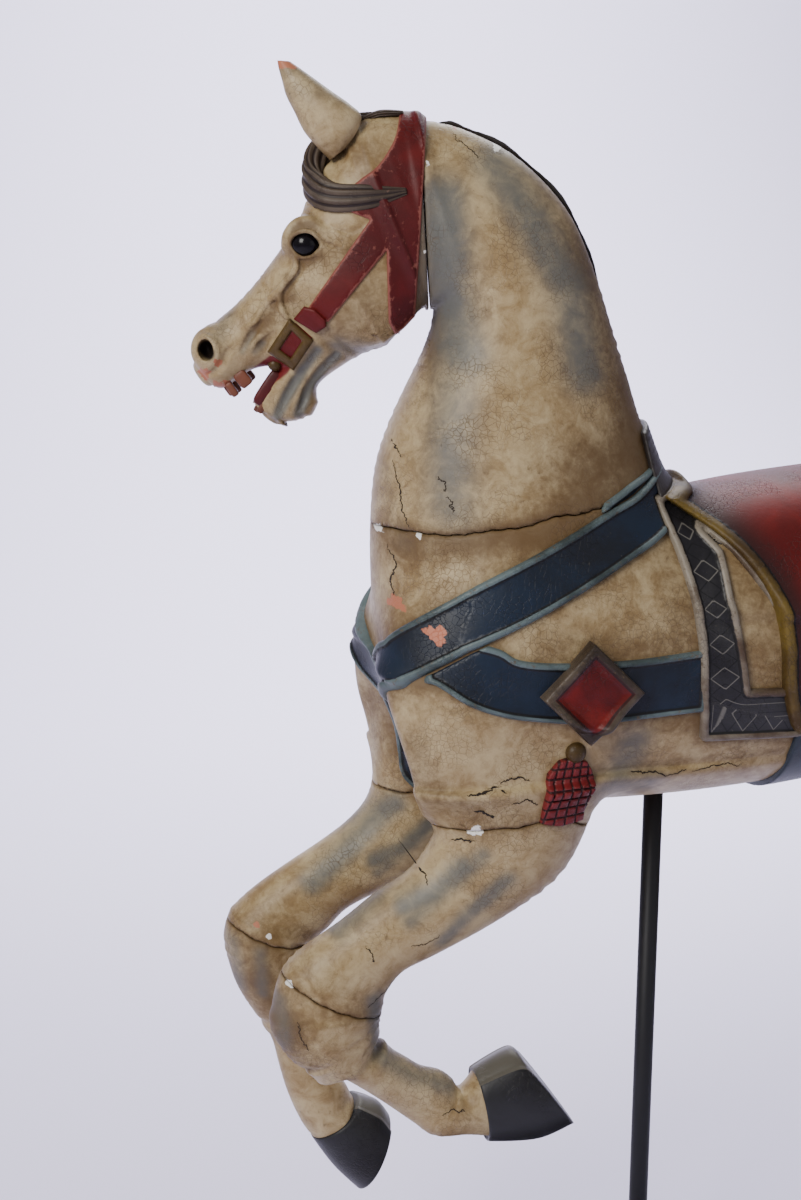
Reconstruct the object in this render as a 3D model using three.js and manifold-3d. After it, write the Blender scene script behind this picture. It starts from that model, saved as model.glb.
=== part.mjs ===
// Carousel horse: a jumper carved from glued wooden blocks, painted, on a steel rod and foot.
// Millimetres, +Z up. The origin is on the floor under the rod. The head points to -X and
// the horse's left side is -Y.
import * as THREE from 'three';
import { ParametricGeometry } from 'three/addons/geometries/ParametricGeometry.js';
import { mergeVertices } from 'three/addons/utils/BufferGeometryUtils.js';
import Module from 'manifold-3d';

const wasm = await Module();
wasm.setup();

// ---- driving dimensions -------------------------------------------------------------------
const rodRadius = 11;
const rodTop = 890;
const footRadius = 280;
const footThickness = 14;
const collarRadius = 32;
const collarHeight = 46;
const fitGap = 0.3;

// The rod holds the carving this much above the level its ribs are drawn from.
const lift = 100;
const headTurn = THREE.MathUtils.degToRad(-15);
const legSpread = 70;
const hipSpread = 76;
const eyeRadius = 15;

// A rib is [front x, front z, back x, back z, half width]: the two points where the outline
// crosses one section of the form, and how far that section reaches to each side.
const trunkRibs = [
  [-327, 865, -327, 780, 45],
  [-318, 905, -318, 740, 80],
  [-300, 932, -300, 708, 103],
  [-265, 954, -265, 684, 122],
  [-200, 970, -200, 668, 134],
  [-100, 980, -100, 659, 142],
  [0, 982, 0, 657, 144],
  [100, 995, 100, 661, 146],
  [200, 1004, 200, 672, 148],
  [300, 1010, 300, 692, 146],
  [380, 1010, 380, 718, 142],
  [445, 995, 445, 755, 130],
  [492, 965, 492, 800, 106],
  [520, 930, 520, 845, 66],
];
const neckRibs = [
  [-270, 720, 0, 720, 90],
  [-316, 800, 40, 800, 124],
  [-324, 885, 22, 890, 122],
  [-325, 962, 2, 980, 112],
  [-320, 1022, -20, 1033, 102],
  [-308, 1064, -38, 1080, 94],
  [-287, 1111, -56, 1130, 84],
  [-267, 1153, -72, 1172, 76],
  [-258, 1187, -92, 1228, 72],
  [-262, 1190, -122, 1290, 68],
  [-266, 1190, -174, 1342, 64],
  [-270, 1190, -228, 1369, 60],
  [-274, 1189, -262, 1377, 58],
  [-293, 1166, -293, 1382, 60],
];
const headRibs = [
  [-250, 1372, -262, 1200, 52],
  [-293, 1384, -293, 1168, 60],
  [-333, 1378, -308, 1153, 63],
  [-376, 1325, -332, 1146, 62],
  [-397, 1278, -360, 1138, 58],
  [-427, 1235, -378, 1128, 49],
  [-458, 1199, -423, 1132, 41],
  [-487, 1174, -449, 1127, 38],
  [-501, 1153, -476, 1109, 33],
  [-505, 1138, -488, 1112, 20],
];
const jawRibs = [
  [-350, 1190, -300, 1165, 42],
  [-397, 1160, -345, 1137, 34],
  [-420, 1131, -378, 1112, 30],
  [-437, 1110, -380, 1086, 29],
  [-450, 1092, -400, 1072, 27],
  [-444, 1079, -420, 1070, 17],
];
const nearForelegRibs = [
  [-285, 780, -40, 780, 50],
  [-278, 715, -75, 730, 58],
  [-273, 663, -101, 673, 58],
  [-282, 640, -137, 599, 52],
  [-303, 612, -205, 553, 45],
  [-343, 588, -278, 518, 39],
  [-382, 560, -314, 503, 36],
  [-425, 533, -332, 482, 38],
  [-445, 512, -336, 472, 40],
  [-455, 477, -341, 449, 41],
  [-455, 451, -338, 428, 40],
  [-447, 433, -332, 417, 37],
  [-430, 410, -323, 406, 33],
  [-392, 393, -307, 394, 28],
  [-357, 366, -291, 382, 24],
  [-330, 343, -271, 375, 22],
  [-303, 319, -257, 363, 22],
  [-280, 300, -250, 350, 25],
  [-243, 296, -241, 353, 26],
  [-214, 290, -230, 368, 31],
];
const nearHoofRibs = [
  [-218, 288, -232, 369, 31],
  [-214, 284, -229, 374, 35],
  [-160, 280, -191, 391, 42],
  [-118, 295, -178, 379, 44],
];
const farForelegRibs = [
  [-300, 780, -90, 780, 50],
  [-305, 720, -130, 715, 58],
  [-309, 670, -175, 655, 57],
  [-317, 641, -220, 592, 50],
  [-341, 616, -259, 555, 43],
  [-376, 593, -307, 534, 38],
  [-409, 574, -344, 517, 36],
  [-444, 552, -366, 495, 36],
  [-471, 528, -388, 480, 38],
  [-481, 497, -394, 464, 40],
  [-476, 464, -392, 433, 38],
  [-466, 432, -392, 413, 34],
  [-446, 396, -384, 390, 28],
  [-431, 362, -376, 357, 24],
  [-424, 331, -368, 324, 24],
  [-414, 292, -346, 295, 28],
  [-399, 254, -337, 275, 30],
  [-386, 233, -327, 273, 32],
];
const farHoofRibs = [
  [-387, 235, -328, 275, 32],
  [-385, 229, -322, 273, 36],
  [-362, 192, -303, 264, 42],
  [-335, 160, -292, 248, 44],
];
const hindlegRibs = [
  [258, 850, 525, 900, 62],
  [262, 780, 522, 850, 74],
  [272, 715, 508, 790, 72],
  [292, 660, 490, 735, 64],
  [330, 618, 484, 688, 53],
  [378, 582, 490, 652, 44],
  [428, 548, 515, 620, 37],
  [475, 520, 552, 590, 33],
  [505, 500, 582, 562, 32],
  [530, 474, 602, 522, 31],
  [554, 444, 610, 478, 26],
  [582, 402, 632, 428, 22],
  [606, 362, 653, 386, 22],
  [622, 330, 678, 360, 27],
  [642, 306, 696, 342, 27],
  [658, 286, 712, 332, 32],
];
const hindHoofRibs = [
  [656, 288, 710, 334, 32],
  [659, 282, 716, 333, 36],
  [686, 248, 752, 322, 42],
  [712, 228, 768, 306, 44],
];
const tailRibs = [
  [470, 900, 480, 955, 26],
  [520, 905, 515, 968, 32],
  [562, 905, 570, 978, 36],
  [596, 880, 640, 946, 42],
  [610, 830, 688, 868, 46],
  [612, 770, 706, 790, 47],
  [606, 700, 700, 706, 44],
  [604, 630, 676, 630, 36],
  [610, 575, 648, 570, 22],
  [622, 540, 632, 536, 8],
];
const earRibs = [
  [-366, 1340, -322, 1374, 17],
  [-374, 1357, -334, 1385, 20],
  [-384, 1374, -349, 1396, 19],
  [-394, 1394, -370, 1409, 15],
  [-405, 1414, -388, 1424, 9],
  [-414, 1431, -402, 1432, 4],
];

// ---- forms --------------------------------------------------------------------------------
// Catmull-Rom value through the rows of a table, t running from 0 to 1 over all its rows.
function between(rows, t) {
  const place = Math.min(Math.max(t, 0), 1) * (rows.length - 1);
  const i = Math.min(Math.floor(place), rows.length - 2);
  const f = place - i;
  const row = (k) => rows[Math.min(Math.max(k, 0), rows.length - 1)];
  return rows[i].map((_, k) => {
    const [a, b, c, d] = [row(i - 1)[k], row(i)[k], row(i + 1)[k], row(i + 2)[k]];
    return b + 0.5 * f * (c - a + f * (2 * a - 5 * b + 4 * c - d + f * (3 * (b - c) + d - a)));
  });
}

// A closed three.js surface as a manifold solid, turned right side out.
function solid(geometry) {
  const bare = geometry.clone();
  bare.deleteAttribute('normal');
  bare.deleteAttribute('uv');
  const merged = mergeVertices(bare, 1e-3);
  const p = merged.attributes.position.array;
  const faces = [];
  let volume = 0;
  const index = merged.index.array;
  for (let i = 0; i < index.length; i += 3) {
    const [a, b, c] = [index[i], index[i + 1], index[i + 2]];
    if (a === b || b === c || c === a) continue;
    faces.push(a, b, c);
    const [ax, ay, az] = p.slice(3 * a, 3 * a + 3);
    const [bx, by, bz] = p.slice(3 * b, 3 * b + 3);
    const [cx, cy, cz] = p.slice(3 * c, 3 * c + 3);
    volume += ax * (by * cz - bz * cy) + ay * (bz * cx - bx * cz) + az * (bx * cy - by * cx);
  }
  if (volume < 0) faces.reverse();
  return new wasm.Manifold(new wasm.Mesh({
    numProp: 3, vertProperties: new Float32Array(p), triVerts: new Uint32Array(faces),
  }));
}

// A form carried through its ribs. Each section is a squared or round oval; swell makes it
// fatter all round, and flutes carve lengthwise grooves into it.
function loft(ribs, options = {}) {
  const { sides = 16, perRib = 1, y = 0, round = 1, swell = 0, flutes = 0, depth = 0 } = options;
  const steps = (ribs.length - 1) * perRib;
  const bend = (value) => Math.sign(value) * Math.abs(value) ** round;
  const surface = (u, v, target) => {
    const row = Math.round(v * (steps + 2));
    const [fx, fz, bx, bz, half] = between(ribs, (row - 1) / steps);
    const closed = row === 0 || row === steps + 2;
    const angle = 2 * Math.PI * u;
    const groove = closed ? 0 : 1 - depth * (0.5 + 0.5 * Math.cos(flutes * angle));
    const length = Math.hypot(bx - fx, bz - fz);
    const reach = 0.5 + swell / length;
    const c = bend(Math.cos(angle)) * groove;
    const s = bend(Math.sin(angle)) * groove;
    target.set(
      (fx + bx) / 2 - (bx - fx) * reach * c,
      y + (half + swell) * s,
      (fz + bz) / 2 - (bz - fz) * reach * c,
    );
  };
  return solid(new ParametricGeometry(surface, sides, steps + 2));
}

// An outline in the X-Z plane, as an upright slab standing across the horse from y0 to y1.
function slab(points, y0, y1) {
  const shape = new THREE.Shape(points.map(([x, z]) => new THREE.Vector2(x, z)));
  const geometry = new THREE.ExtrudeGeometry(shape, { depth: y1 - y0, bevelEnabled: false });
  geometry.rotateX(Math.PI / 2);
  geometry.translate(0, y1, 0);
  return solid(geometry);
}

// The outline of a band of even width along a curve through the given points.
function band(points, width, steps = 5) {
  const curve = new THREE.CatmullRomCurve3(points.map(([x, z]) => new THREE.Vector3(x, z, 0)));
  const edge = (side) => Array.from({ length: steps + 1 }, (_, i) => {
    const at = curve.getPointAt(i / steps);
    const along = curve.getTangentAt(i / steps);
    return [at.x - side * along.y * width / 2, at.y + side * along.x * width / 2];
  });
  return [...edge(1), ...edge(-1).reverse()];
}

// A tapered lock or cord: an oval section carried along a curve in space. Each point is
// [x, y, z, half width, half thickness]; the width lies along the given direction.
function strand(points, across, { sides = 6, perPoint = 1, flutes = 0, depth = 0 } = {}) {
  const steps = (points.length - 1) * perPoint;
  const wide = new THREE.Vector3(...across);
  const surface = (u, v, target) => {
    const row = Math.round(v * (steps + 2));
    const t = (row - 1) / steps;
    const [x, y, z, half, thick] = between(points, t);
    const ahead = between(points, t + 0.02);
    const behind = between(points, t - 0.02);
    const along = new THREE.Vector3(ahead[0] - behind[0], ahead[1] - behind[1], ahead[2] - behind[2]);
    const out = new THREE.Vector3().crossVectors(along, wide).normalize();
    const side = new THREE.Vector3().crossVectors(out, along).normalize();
    const angle = 2 * Math.PI * u;
    target.set(x, y, z);
    if (row === 0 || row === steps + 2) return;
    const groove = 1 - depth * (0.5 + 0.5 * Math.cos(flutes * angle));
    target.addScaledVector(side, half * groove * Math.cos(angle));
    target.addScaledVector(out, thick * groove * Math.sin(angle));
  };
  return solid(new ParametricGeometry(surface, sides, steps + 2));
}

function ball(radiusX, radiusY, radiusZ, x, y, z, width = 10, height = 6) {
  const sphere = new THREE.SphereGeometry(1, width, height);
  sphere.scale(radiusX, radiusY, radiusZ);
  sphere.translate(x, y, z);
  return solid(sphere);
}

function join(parts) {
  return parts.reduce((sum, part) => sum.add(part));
}

// The head and upper neck look aside: each point turns about an upright axis in the neck,
// by an angle that grows smoothly from the mid neck to the poll.
function turnHead(form) {
  const mesh = form.getMesh();
  const p = mesh.vertProperties.slice();
  for (let i = 0; i < p.length; i += 3) {
    const rise = THREE.MathUtils.clamp((-0.75 * p[i] + 0.66 * p[i + 2] - 740) / 220, 0, 1);
    const angle = headTurn * rise * rise * (3 - 2 * rise);
    const x = p[i] + 150;
    const y = p[i + 1];
    p[i] = x * Math.cos(angle) - y * Math.sin(angle) - 150;
    p[i + 1] = x * Math.sin(angle) + y * Math.cos(angle);
  }
  return new wasm.Manifold(new wasm.Mesh({ numProp: 3, vertProperties: p, triVerts: mesh.triVerts }));
}

// ---- the horse ----------------------------------------------------------------------------
function body(swell = 0) {
  const trunk = loft(trunkRibs, { sides: 18, round: 0.92, swell });
  const breast = [-1, 1].map((side) => (
    ball(98 + swell, 74 + swell, 135 + swell, -232, side * 62, 782, 12, 7)));
  const neck = loft(neckRibs, { sides: 14, swell });
  return join([trunk, neck, ...breast]);
}

function skull(swell = 0) {
  return loft(headRibs, { sides: 16, round: 0.82, swell });
}

// What lies on the horse is carved out of the same wood: the part of a slightly fatter copy
// of the form that falls inside the outline of the strap or cloth. Both sides are alike.
const farOut = 220;
const bothSides = (outline) => slab(outline, -farOut, farOut);
const strapRise = 7;
const clothRise = 8;
const saddleRise = 17;

const breastStrap = [
  [-345, 812], [-318, 836], [-271, 880], [-215, 908], [-150, 934], [-95, 970], [-20, 1008]];
const shoulderStrap = [[-292, 832], [-262, 832], [-225, 826], [-165, 816], [-95, 813], [-10, 817]];
const breeching = [[330, 872], [400, 884], [460, 892], [545, 900]];
const blanketOutline = [
  [-48, 1040], [-30, 960], [-25, 900], [-19, 810], [-4, 752], [95, 746], [200, 750], [362, 770],
  [368, 850], [372, 950], [376, 1060]];
const panelOutline = [
  [12, 965], [12, 900], [22, 850], [32, 800], [75, 800], [66, 850], [46, 900], [18, 956]];
const saddleOutline = [
  [-22, 1060], [-19, 992], [20, 954], [47, 897], [67, 846], [76, 791], [103, 746], [165, 735],
  [228, 748], [256, 791], [268, 846], [286, 897], [312, 945], [348, 985], [362, 1060]];
const girthOutline = [[100, 760], [100, 600], [175, 600], [175, 760]];
const crupperWidth = 34;
const martingaleWidth = 44;
const diamondAt = [-136, 813];
const diamondReach = 54;
const diamondFrame = 9;
const frameRise = 18;
const fieldRise = 13;

function diamond(reach) {
  const [x, z] = diamondAt;
  return [[x - reach, z], [x, z + reach], [x + reach, z], [x, z - reach]];
}

// A band standing straight across the horse, seen from the front.
function frontBand(width, x0, x1, z0, z1) {
  const box = new THREE.BoxGeometry(x1 - x0, width, z1 - z0);
  box.translate((x0 + x1) / 2, 0, (z0 + z1) / 2);
  return solid(box);
}

function harness() {
  return join([
    bothSides(band(breastStrap, 56)),
    bothSides(band(shoulderStrap, 64)),
    bothSides(band(breeching, 46)),
    bothSides(girthOutline),
    frontBand(martingaleWidth, -420, -230, 690, 836),
    frontBand(crupperWidth, 365, 520, 900, 1060),
  ]).intersect(body(strapRise));
}

function saddlery() {
  const cloth = bothSides(blanketOutline).subtract(bothSides(panelOutline)).intersect(body(clothRise));
  const flap = bothSides(saddleOutline).intersect(body(saddleRise));
  const cantle = loft([
    [190, 1018, 190, 940, 50],
    [240, 1034, 240, 940, 74],
    [292, 1056, 292, 940, 92],
    [335, 1082, 335, 940, 100],
    [358, 1088, 362, 940, 100],
    [374, 1066, 380, 940, 92],
    [382, 1030, 388, 940, 80],
  ], { sides: 14, round: 0.9 });
  return [cloth, flap, cantle];
}

// The bosses: a lozenge in a raised frame, a round knob and a fluted tassel on each shoulder.
function bosses() {
  const frame = bothSides(diamond(diamondReach))
    .subtract(bothSides(diamond(diamondReach - diamondFrame))).intersect(body(frameRise));
  const field = bothSides(diamond(diamondReach - diamondFrame + 1)).intersect(body(fieldRise));
  const knobs = [-1, 1].map((side) => ball(12, 9, 12, -148, side * 132, 748, 10, 6));
  const tassels = [-1, 1].map((side) => loft([
    [-160, 742, -142, 742, 5],
    [-170, 732, -140, 732, 9],
    [-178, 716, -136, 718, 11],
    [-192, 690, -142, 688, 12],
    [-198, 672, -146, 667, 11],
  ], { sides: 12, y: side * 121, flutes: 6, depth: 0.1 }));
  return [frame, field, ...knobs, ...tassels];
}

// The lower jaw, cheeks, ears, brows and the open mouth's teeth.
function face() {
  const jaw = loft(jawRibs, { sides: 10 });
  const cheeks = [-1, 1].map((side) => ball(50, 28, 50, -334, side * 36, 1208, 12, 6));
  const ears = [-1, 1].map((side) => loft(earRibs, { sides: 8, y: side * 36 }));
  const brows = [-1, 1].map((side) => strand([
    [-412, side * 38, 1252, 5, 5],
    [-404, side * 46, 1270, 8, 8],
    [-386, side * 52, 1277, 8, 8],
    [-366, side * 57, 1270, 7, 7],
    [-350, side * 60, 1260, 4, 4],
  ], [0, 0, 1]));
  return [skull(), jaw, ...cheeks, ...ears, ...brows];
}

const toothSize = [10, 11, 24];
function teeth() {
  const tooth = (x, y, z, tilt) => {
    const block = new THREE.BoxGeometry(...toothSize);
    block.rotateY(tilt);
    block.translate(x, y, z);
    return solid(block);
  };
  return [-12, 0, 12].flatMap((y) => [
    tooth(-478, y, 1114, -0.5), tooth(-441, y, 1103, 0.55)]);
}

const bridleRise = 4;
const keeperRise = 8;
const buckleRise = 9;
const crownOutline = [
  [-294, 1400], [-296, 1360], [-338, 1316], [-341, 1286], [-321, 1280],
  [-385, 1193], [-362, 1184], [-305, 1251], [-303, 1179], [-296, 1167], [-277, 1185], [-264, 1400]];
const buckleOutline = [[-399, 1180], [-381, 1162], [-402, 1130], [-426, 1146]];
const buckleHole = [[-401, 1170], [-391, 1160], [-404, 1140], [-416, 1148]];

function bridle() {
  const straps = bothSides(crownOutline).intersect(skull(bridleRise));
  const buckle = bothSides(buckleOutline).subtract(bothSides(buckleHole)).intersect(skull(buckleRise));
  const keeper = bothSides([[-389, 1195], [-367, 1182], [-376, 1170], [-399, 1183]])
    .intersect(skull(keeperRise));
  return [straps, buckle, keeper];
}

// The forelock sweeps forward round the ears and back along the near temple.
function forelock() {
  return strand([
    [-318, -6, 1379, 9, 7],
    [-350, -11, 1371, 13, 9],
    [-378, -20, 1342, 16, 10],
    [-383, -36, 1316, 17, 10],
    [-362, -53, 1301, 17, 12],
    [-325, -59, 1302, 15, 12],
    [-286, -57, 1309, 5, 6],
  ], [0, 0, 1], { sides: 14, flutes: 7, depth: 0.16 });
}

// The mane falls to the right: one row of locks from the crest down the off side of the neck,
// each a ridge between two grooves that ends in a point.
const locks = 8;
function mane() {
  const crest = neckRibs.slice(3, -1);
  const rows = 2 * locks;
  const sides = 8;
  const surface = (u, v, target) => {
    const row = Math.round(v * (rows + 2));
    const t = Math.min(Math.max(row - 1, 0), rows) / rows;
    const [fx, fz, bx, bz, half] = between(crest, 0.04 + 0.96 * t);
    const ridge = row % 2 === 0 ? 1 : 0;
    const closed = row === 0 || row === rows + 2;
    const angle = 2 * Math.PI * u;
    const reach = closed ? 0.4 : 0.5 - 0.5 * Math.cos(angle);
    const fall = 0.02 + reach * (0.34 + 0.16 * ridge);
    const rise = closed ? 0 : 2 + (8 + 6 * ridge) * Math.sin(angle);
    const down = 1 - 2 * fall;
    const depth = Math.hypot(bx - fx, bz - fz) / 2;
    const lean = (depth + rise) / (2 * depth) * down + 0.5;
    target.set(
      fx + (bx - fx) * lean,
      (half + rise) * Math.sqrt(1 - down * down),
      fz + (bz - fz) * lean - 50 * reach * ridge,
    );
  };
  return solid(new ParametricGeometry(surface, sides, rows + 2));
}

const forelegs = [
  loft(nearForelegRibs, { sides: 10, y: -legSpread }),
  loft(nearHoofRibs, { sides: 12, y: -legSpread }),
  loft(farForelegRibs, { sides: 10, y: legSpread }),
  loft(farHoofRibs, { sides: 12, y: legSpread }),
];
const hindlegs = [-1, 1].flatMap((side) => [
  loft(hindlegRibs, { sides: 10, y: side * hipSpread }),
  loft(hindHoofRibs, { sides: 12, y: side * hipSpread }),
]);
const tail = loft(tailRibs, { sides: 16, flutes: 4, depth: 0.14 });

const eyeAt = [-387, 46, 1257];
const eyeBalls = (radius) => [-1, 1].map((side) => (
  ball(radius, radius, radius, eyeAt[0], side * eyeAt[1], eyeAt[2])));
const nostrils = [-1, 1].map((side) => ball(9, 12, 11, -494, side * 32, 1150, 10, 6));

const forehand = join([body(), ...face(), ...teeth(), ...bridle(), forelock(), mane()])
  .subtract(join([...eyeBalls(eyeRadius + fitGap), ...nostrils]));
let horse = join([
  turnHead(forehand), harness(), ...saddlery(), ...bosses(), ...forelegs, ...hindlegs, tail]);
horse = horse.translate([0, 0, lift]);

const rodHole = new THREE.CylinderGeometry(rodRadius + fitGap, rodRadius + fitGap, rodTop, 16);
rodHole.rotateX(Math.PI / 2);
rodHole.translate(0, 0, rodTop / 2 + fitGap);
horse = horse.subtract(solid(rodHole));

const eyes = eyeBalls(eyeRadius).map((ballForm) => turnHead(ballForm).translate([0, 0, lift]));

// ---- the display stand --------------------------------------------------------------------
const rod = new THREE.CylinderGeometry(rodRadius, rodRadius, rodTop - footThickness / 2, 16);
rod.rotateX(Math.PI / 2);
rod.translate(0, 0, (rodTop + footThickness / 2) / 2);

const footProfile = [
  [0, 0],
  [footRadius, 0],
  [footRadius, footThickness],
  [collarRadius, footThickness],
  [collarRadius, collarHeight],
  [rodRadius + fitGap, collarHeight],
  [rodRadius + fitGap, footThickness / 2 - fitGap],
  [0, footThickness / 2 - fitGap],
].map(([r, z]) => new THREE.Vector2(r, z));
const foot = new THREE.LatheGeometry(footProfile, 32);
foot.rotateX(Math.PI / 2);

// ---- scene graph --------------------------------------------------------------------------
function node(name, form, color, roughness, metalness) {
  let geometry = form;
  if (form.getMesh) {
    const mesh = form.getMesh();
    geometry = new THREE.BufferGeometry();
    geometry.setAttribute('position', new THREE.BufferAttribute(mesh.vertProperties, 3));
    geometry.setIndex(new THREE.BufferAttribute(mesh.triVerts, 1));
  }
  const material = new THREE.MeshStandardMaterial({ color, roughness, metalness });
  const part = new THREE.Mesh(geometry, material);
  part.name = name;
  return part;
}

const group = new THREE.Group();
group.add(node('horse', horse, 0xc9bda0, 0.55, 0));
group.add(node('left_eye', eyes[0], 0x120c0a, 0.1, 0));
group.add(node('right_eye', eyes[1], 0x120c0a, 0.1, 0));
group.add(node('stand_pole', solid(rod), 0x1d1c1e, 0.5, 0.8));
group.add(node('stand_base', solid(foot), 0x232326, 0.6, 0.7));

export default group;
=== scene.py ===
import bpy
import numpy as np
from mathutils import Euler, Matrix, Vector


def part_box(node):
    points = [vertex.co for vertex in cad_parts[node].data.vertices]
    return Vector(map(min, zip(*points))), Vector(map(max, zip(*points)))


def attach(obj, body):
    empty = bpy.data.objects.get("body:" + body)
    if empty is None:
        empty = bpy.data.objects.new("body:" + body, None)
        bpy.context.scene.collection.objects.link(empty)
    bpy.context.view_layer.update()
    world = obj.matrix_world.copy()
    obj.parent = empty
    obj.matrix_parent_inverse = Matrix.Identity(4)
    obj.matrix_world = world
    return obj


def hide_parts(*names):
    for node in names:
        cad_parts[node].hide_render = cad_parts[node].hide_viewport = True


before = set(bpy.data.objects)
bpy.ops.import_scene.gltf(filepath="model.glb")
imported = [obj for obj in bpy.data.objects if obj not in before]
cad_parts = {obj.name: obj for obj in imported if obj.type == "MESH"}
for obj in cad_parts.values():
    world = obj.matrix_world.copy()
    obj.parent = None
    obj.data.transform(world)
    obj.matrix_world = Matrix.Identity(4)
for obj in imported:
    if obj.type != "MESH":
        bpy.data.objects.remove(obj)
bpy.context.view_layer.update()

# The foot and rod of the display stand: a round steel plate with a short turned collar, and a
# plain steel rod that stands in it and runs up into a blind hole in the belly. Black paint.
foot_high = np.array(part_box("stand_base")[1])
rod_low, rod_high = (np.array(corner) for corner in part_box("stand_pole"))
foot_radius, rod_radius = foot_high[0], rod_high[0]
plate_thickness = 0.014
collar_radius = 0.032


def mesh_piece(name, verts, faces, material):
    """Smooth object of the given name from an array of points and lists of corners, riding on
    the part's one body."""
    mesh = bpy.data.meshes.new(name)
    mesh.from_pydata(np.asarray(verts, float).tolist(), [], faces)
    mesh.polygons.foreach_set("use_smooth", np.full(len(mesh.polygons), True))
    mesh.materials.append(material)
    mesh.update()
    piece = bpy.data.objects.new(name, mesh)
    bpy.context.scene.collection.objects.link(piece)
    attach(piece, "root")
    return piece


def surface_piece(name, points, material, closed=True):
    """Object from a grid of points, shape (rows, around, 3): neighbours in both directions are
    joined by four-sided faces. In a closed one each row is a ring and a fan closes each end."""
    rows, around, _ = points.shape
    cells = around if closed else around - 1
    i, j = np.meshgrid(np.arange(rows - 1), np.arange(cells), indexing="ij")
    k = (j + 1) % around
    corners = [i * around + j, i * around + k, (i + 1) * around + k, (i + 1) * around + j]
    faces = np.stack(corners, -1).reshape(-1, 4).tolist()
    verts = points.reshape(-1, 3)
    for row, way in ((0, 1), (rows - 1, -1)) if closed else ():
        ring = row * around + np.arange(around)
        fan = np.stack([np.roll(ring, -1), ring, np.full(around, len(verts))], 1)
        verts = np.vstack([verts, points[row].mean(axis=0)])
        faces += fan[:, ::way].tolist()
    return mesh_piece(name, verts, faces, material)


def turned(profile, around):
    """Points of a turned form: the profile's radius and height carried round the rod's axis."""
    angle = 2 * np.pi * np.arange(around) / around
    radius, height = np.array(profile).T
    ring = np.stack([np.cos(angle), np.sin(angle), np.zeros(around)], 1)
    return radius[:, None, None] * ring + np.array([0, 0, 1]) * height[:, None, None]


def new_material(name, colour, roughness, metallic=0.0):
    """A Principled material; returns it with its nodes, links and shader."""
    material = bpy.data.materials.new(name)
    material.use_nodes = True
    nodes, links = material.node_tree.nodes, material.node_tree.links
    shader = nodes["Principled BSDF"]
    shader.inputs["Base Color"].default_value = (*colour, 1)
    shader.inputs["Roughness"].default_value = roughness
    shader.inputs["Metallic"].default_value = metallic
    return material, nodes, links, shader


steel, *_ = new_material("blackened_steel_plain", (0.02, 0.02, 0.022), 0.5, 0.6)
rod_profile = [(rod_radius - 0.0005, rod_low[2]), (rod_radius, rod_low[2] + 0.001),
               (rod_radius, rod_high[2])]
rod = surface_piece("stand_rod", turned(rod_profile, 48), steel)
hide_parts("stand_pole")

foot_profile = [
    (foot_radius - 0.004, 0.0), (foot_radius - 0.001, 0.001), (foot_radius, 0.004),
    (foot_radius, plate_thickness - 0.003), (foot_radius - 0.003, plate_thickness),
    (collar_radius + 0.006, plate_thickness), (collar_radius + 0.002, plate_thickness + 0.002),
    (collar_radius, plate_thickness + 0.007), (collar_radius, foot_high[2] - 0.003),
    (collar_radius - 0.003, foot_high[2]), (rod_radius + 0.0003, foot_high[2]),
]
foot = surface_piece("stand_foot", turned(foot_profile, 96), steel)
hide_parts("stand_base")

# The trunk with its two breasts: wooden blocks glued round a hollow barrel and carved to shape.
# Every limb of the horse is one form carried through its ribs. A rib is front x, front z, back x,
# back z and half width, in metres above a datum that stands `lift` above the floor.
lift = 0.1


def catmull(rows, per):
    """Catmull-Rom curve through the rows of a table, with `per` steps between two rows."""
    rows = np.asarray(rows, float)
    around = np.vstack([rows[:1], rows, rows[-1:]])
    t = np.linspace(0, len(rows) - 1, (len(rows) - 1) * per + 1)
    i = np.minimum(t.astype(int), len(rows) - 2)
    f = (t - i)[:, None]
    a, b, c, d = around[i], around[i + 1], around[i + 2], around[i + 3]
    return b + 0.5 * f * (c - a + f * (2 * a - 5 * b + 4 * c - d + f * (3 * (b - c) + d - a)))


def nearest(line, x, z):
    """Nearest place on a line of points in the x-z plane: the number of the step it lies on, the
    fraction along that step, and the offset from the line to each given point."""
    x, z = np.broadcast_arrays(x, z)
    flat = np.stack([x.ravel(), z.ravel()], 1)
    start, step = line[:-1], np.diff(line, axis=0)
    long = (step ** 2).sum(1)
    k, t, away = np.empty(len(flat), int), np.empty(len(flat)), np.empty_like(flat)
    for part in np.array_split(np.arange(len(flat)), len(flat) // 20000 + 1):
        gap = flat[part, None] - start
        along = np.clip((gap * step).sum(2) / long, 0, 1)
        off = gap - along[..., None] * step
        best = (off ** 2).sum(2).argmin(1)
        row = np.arange(len(part))
        k[part], t[part], away[part] = best, along[row, best], off[row, best]
    return k.reshape(x.shape), t.reshape(x.shape), away.reshape(*x.shape, 2)


def cast(points, ways, outline):
    """Distance from each point along its way to the first crossing of a closed outline."""
    start, step = outline, np.roll(outline, -1, axis=0) - outline
    gap = start - points[:, None]
    turn = ways[:, None, 0] * step[:, 1] - ways[:, None, 1] * step[:, 0]
    turn = np.where(np.abs(turn) < 1e-9, 1e-9, turn)
    reach = (gap[..., 0] * step[:, 1] - gap[..., 1] * step[:, 0]) / turn
    place = (gap[..., 0] * ways[:, None, 1] - gap[..., 1] * ways[:, None, 0]) / turn
    hit = (reach > 1e-4) & (place >= -1e-6) & (place <= 1 + 1e-6)
    return np.where(hit, reach, 9).min(1)


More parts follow.
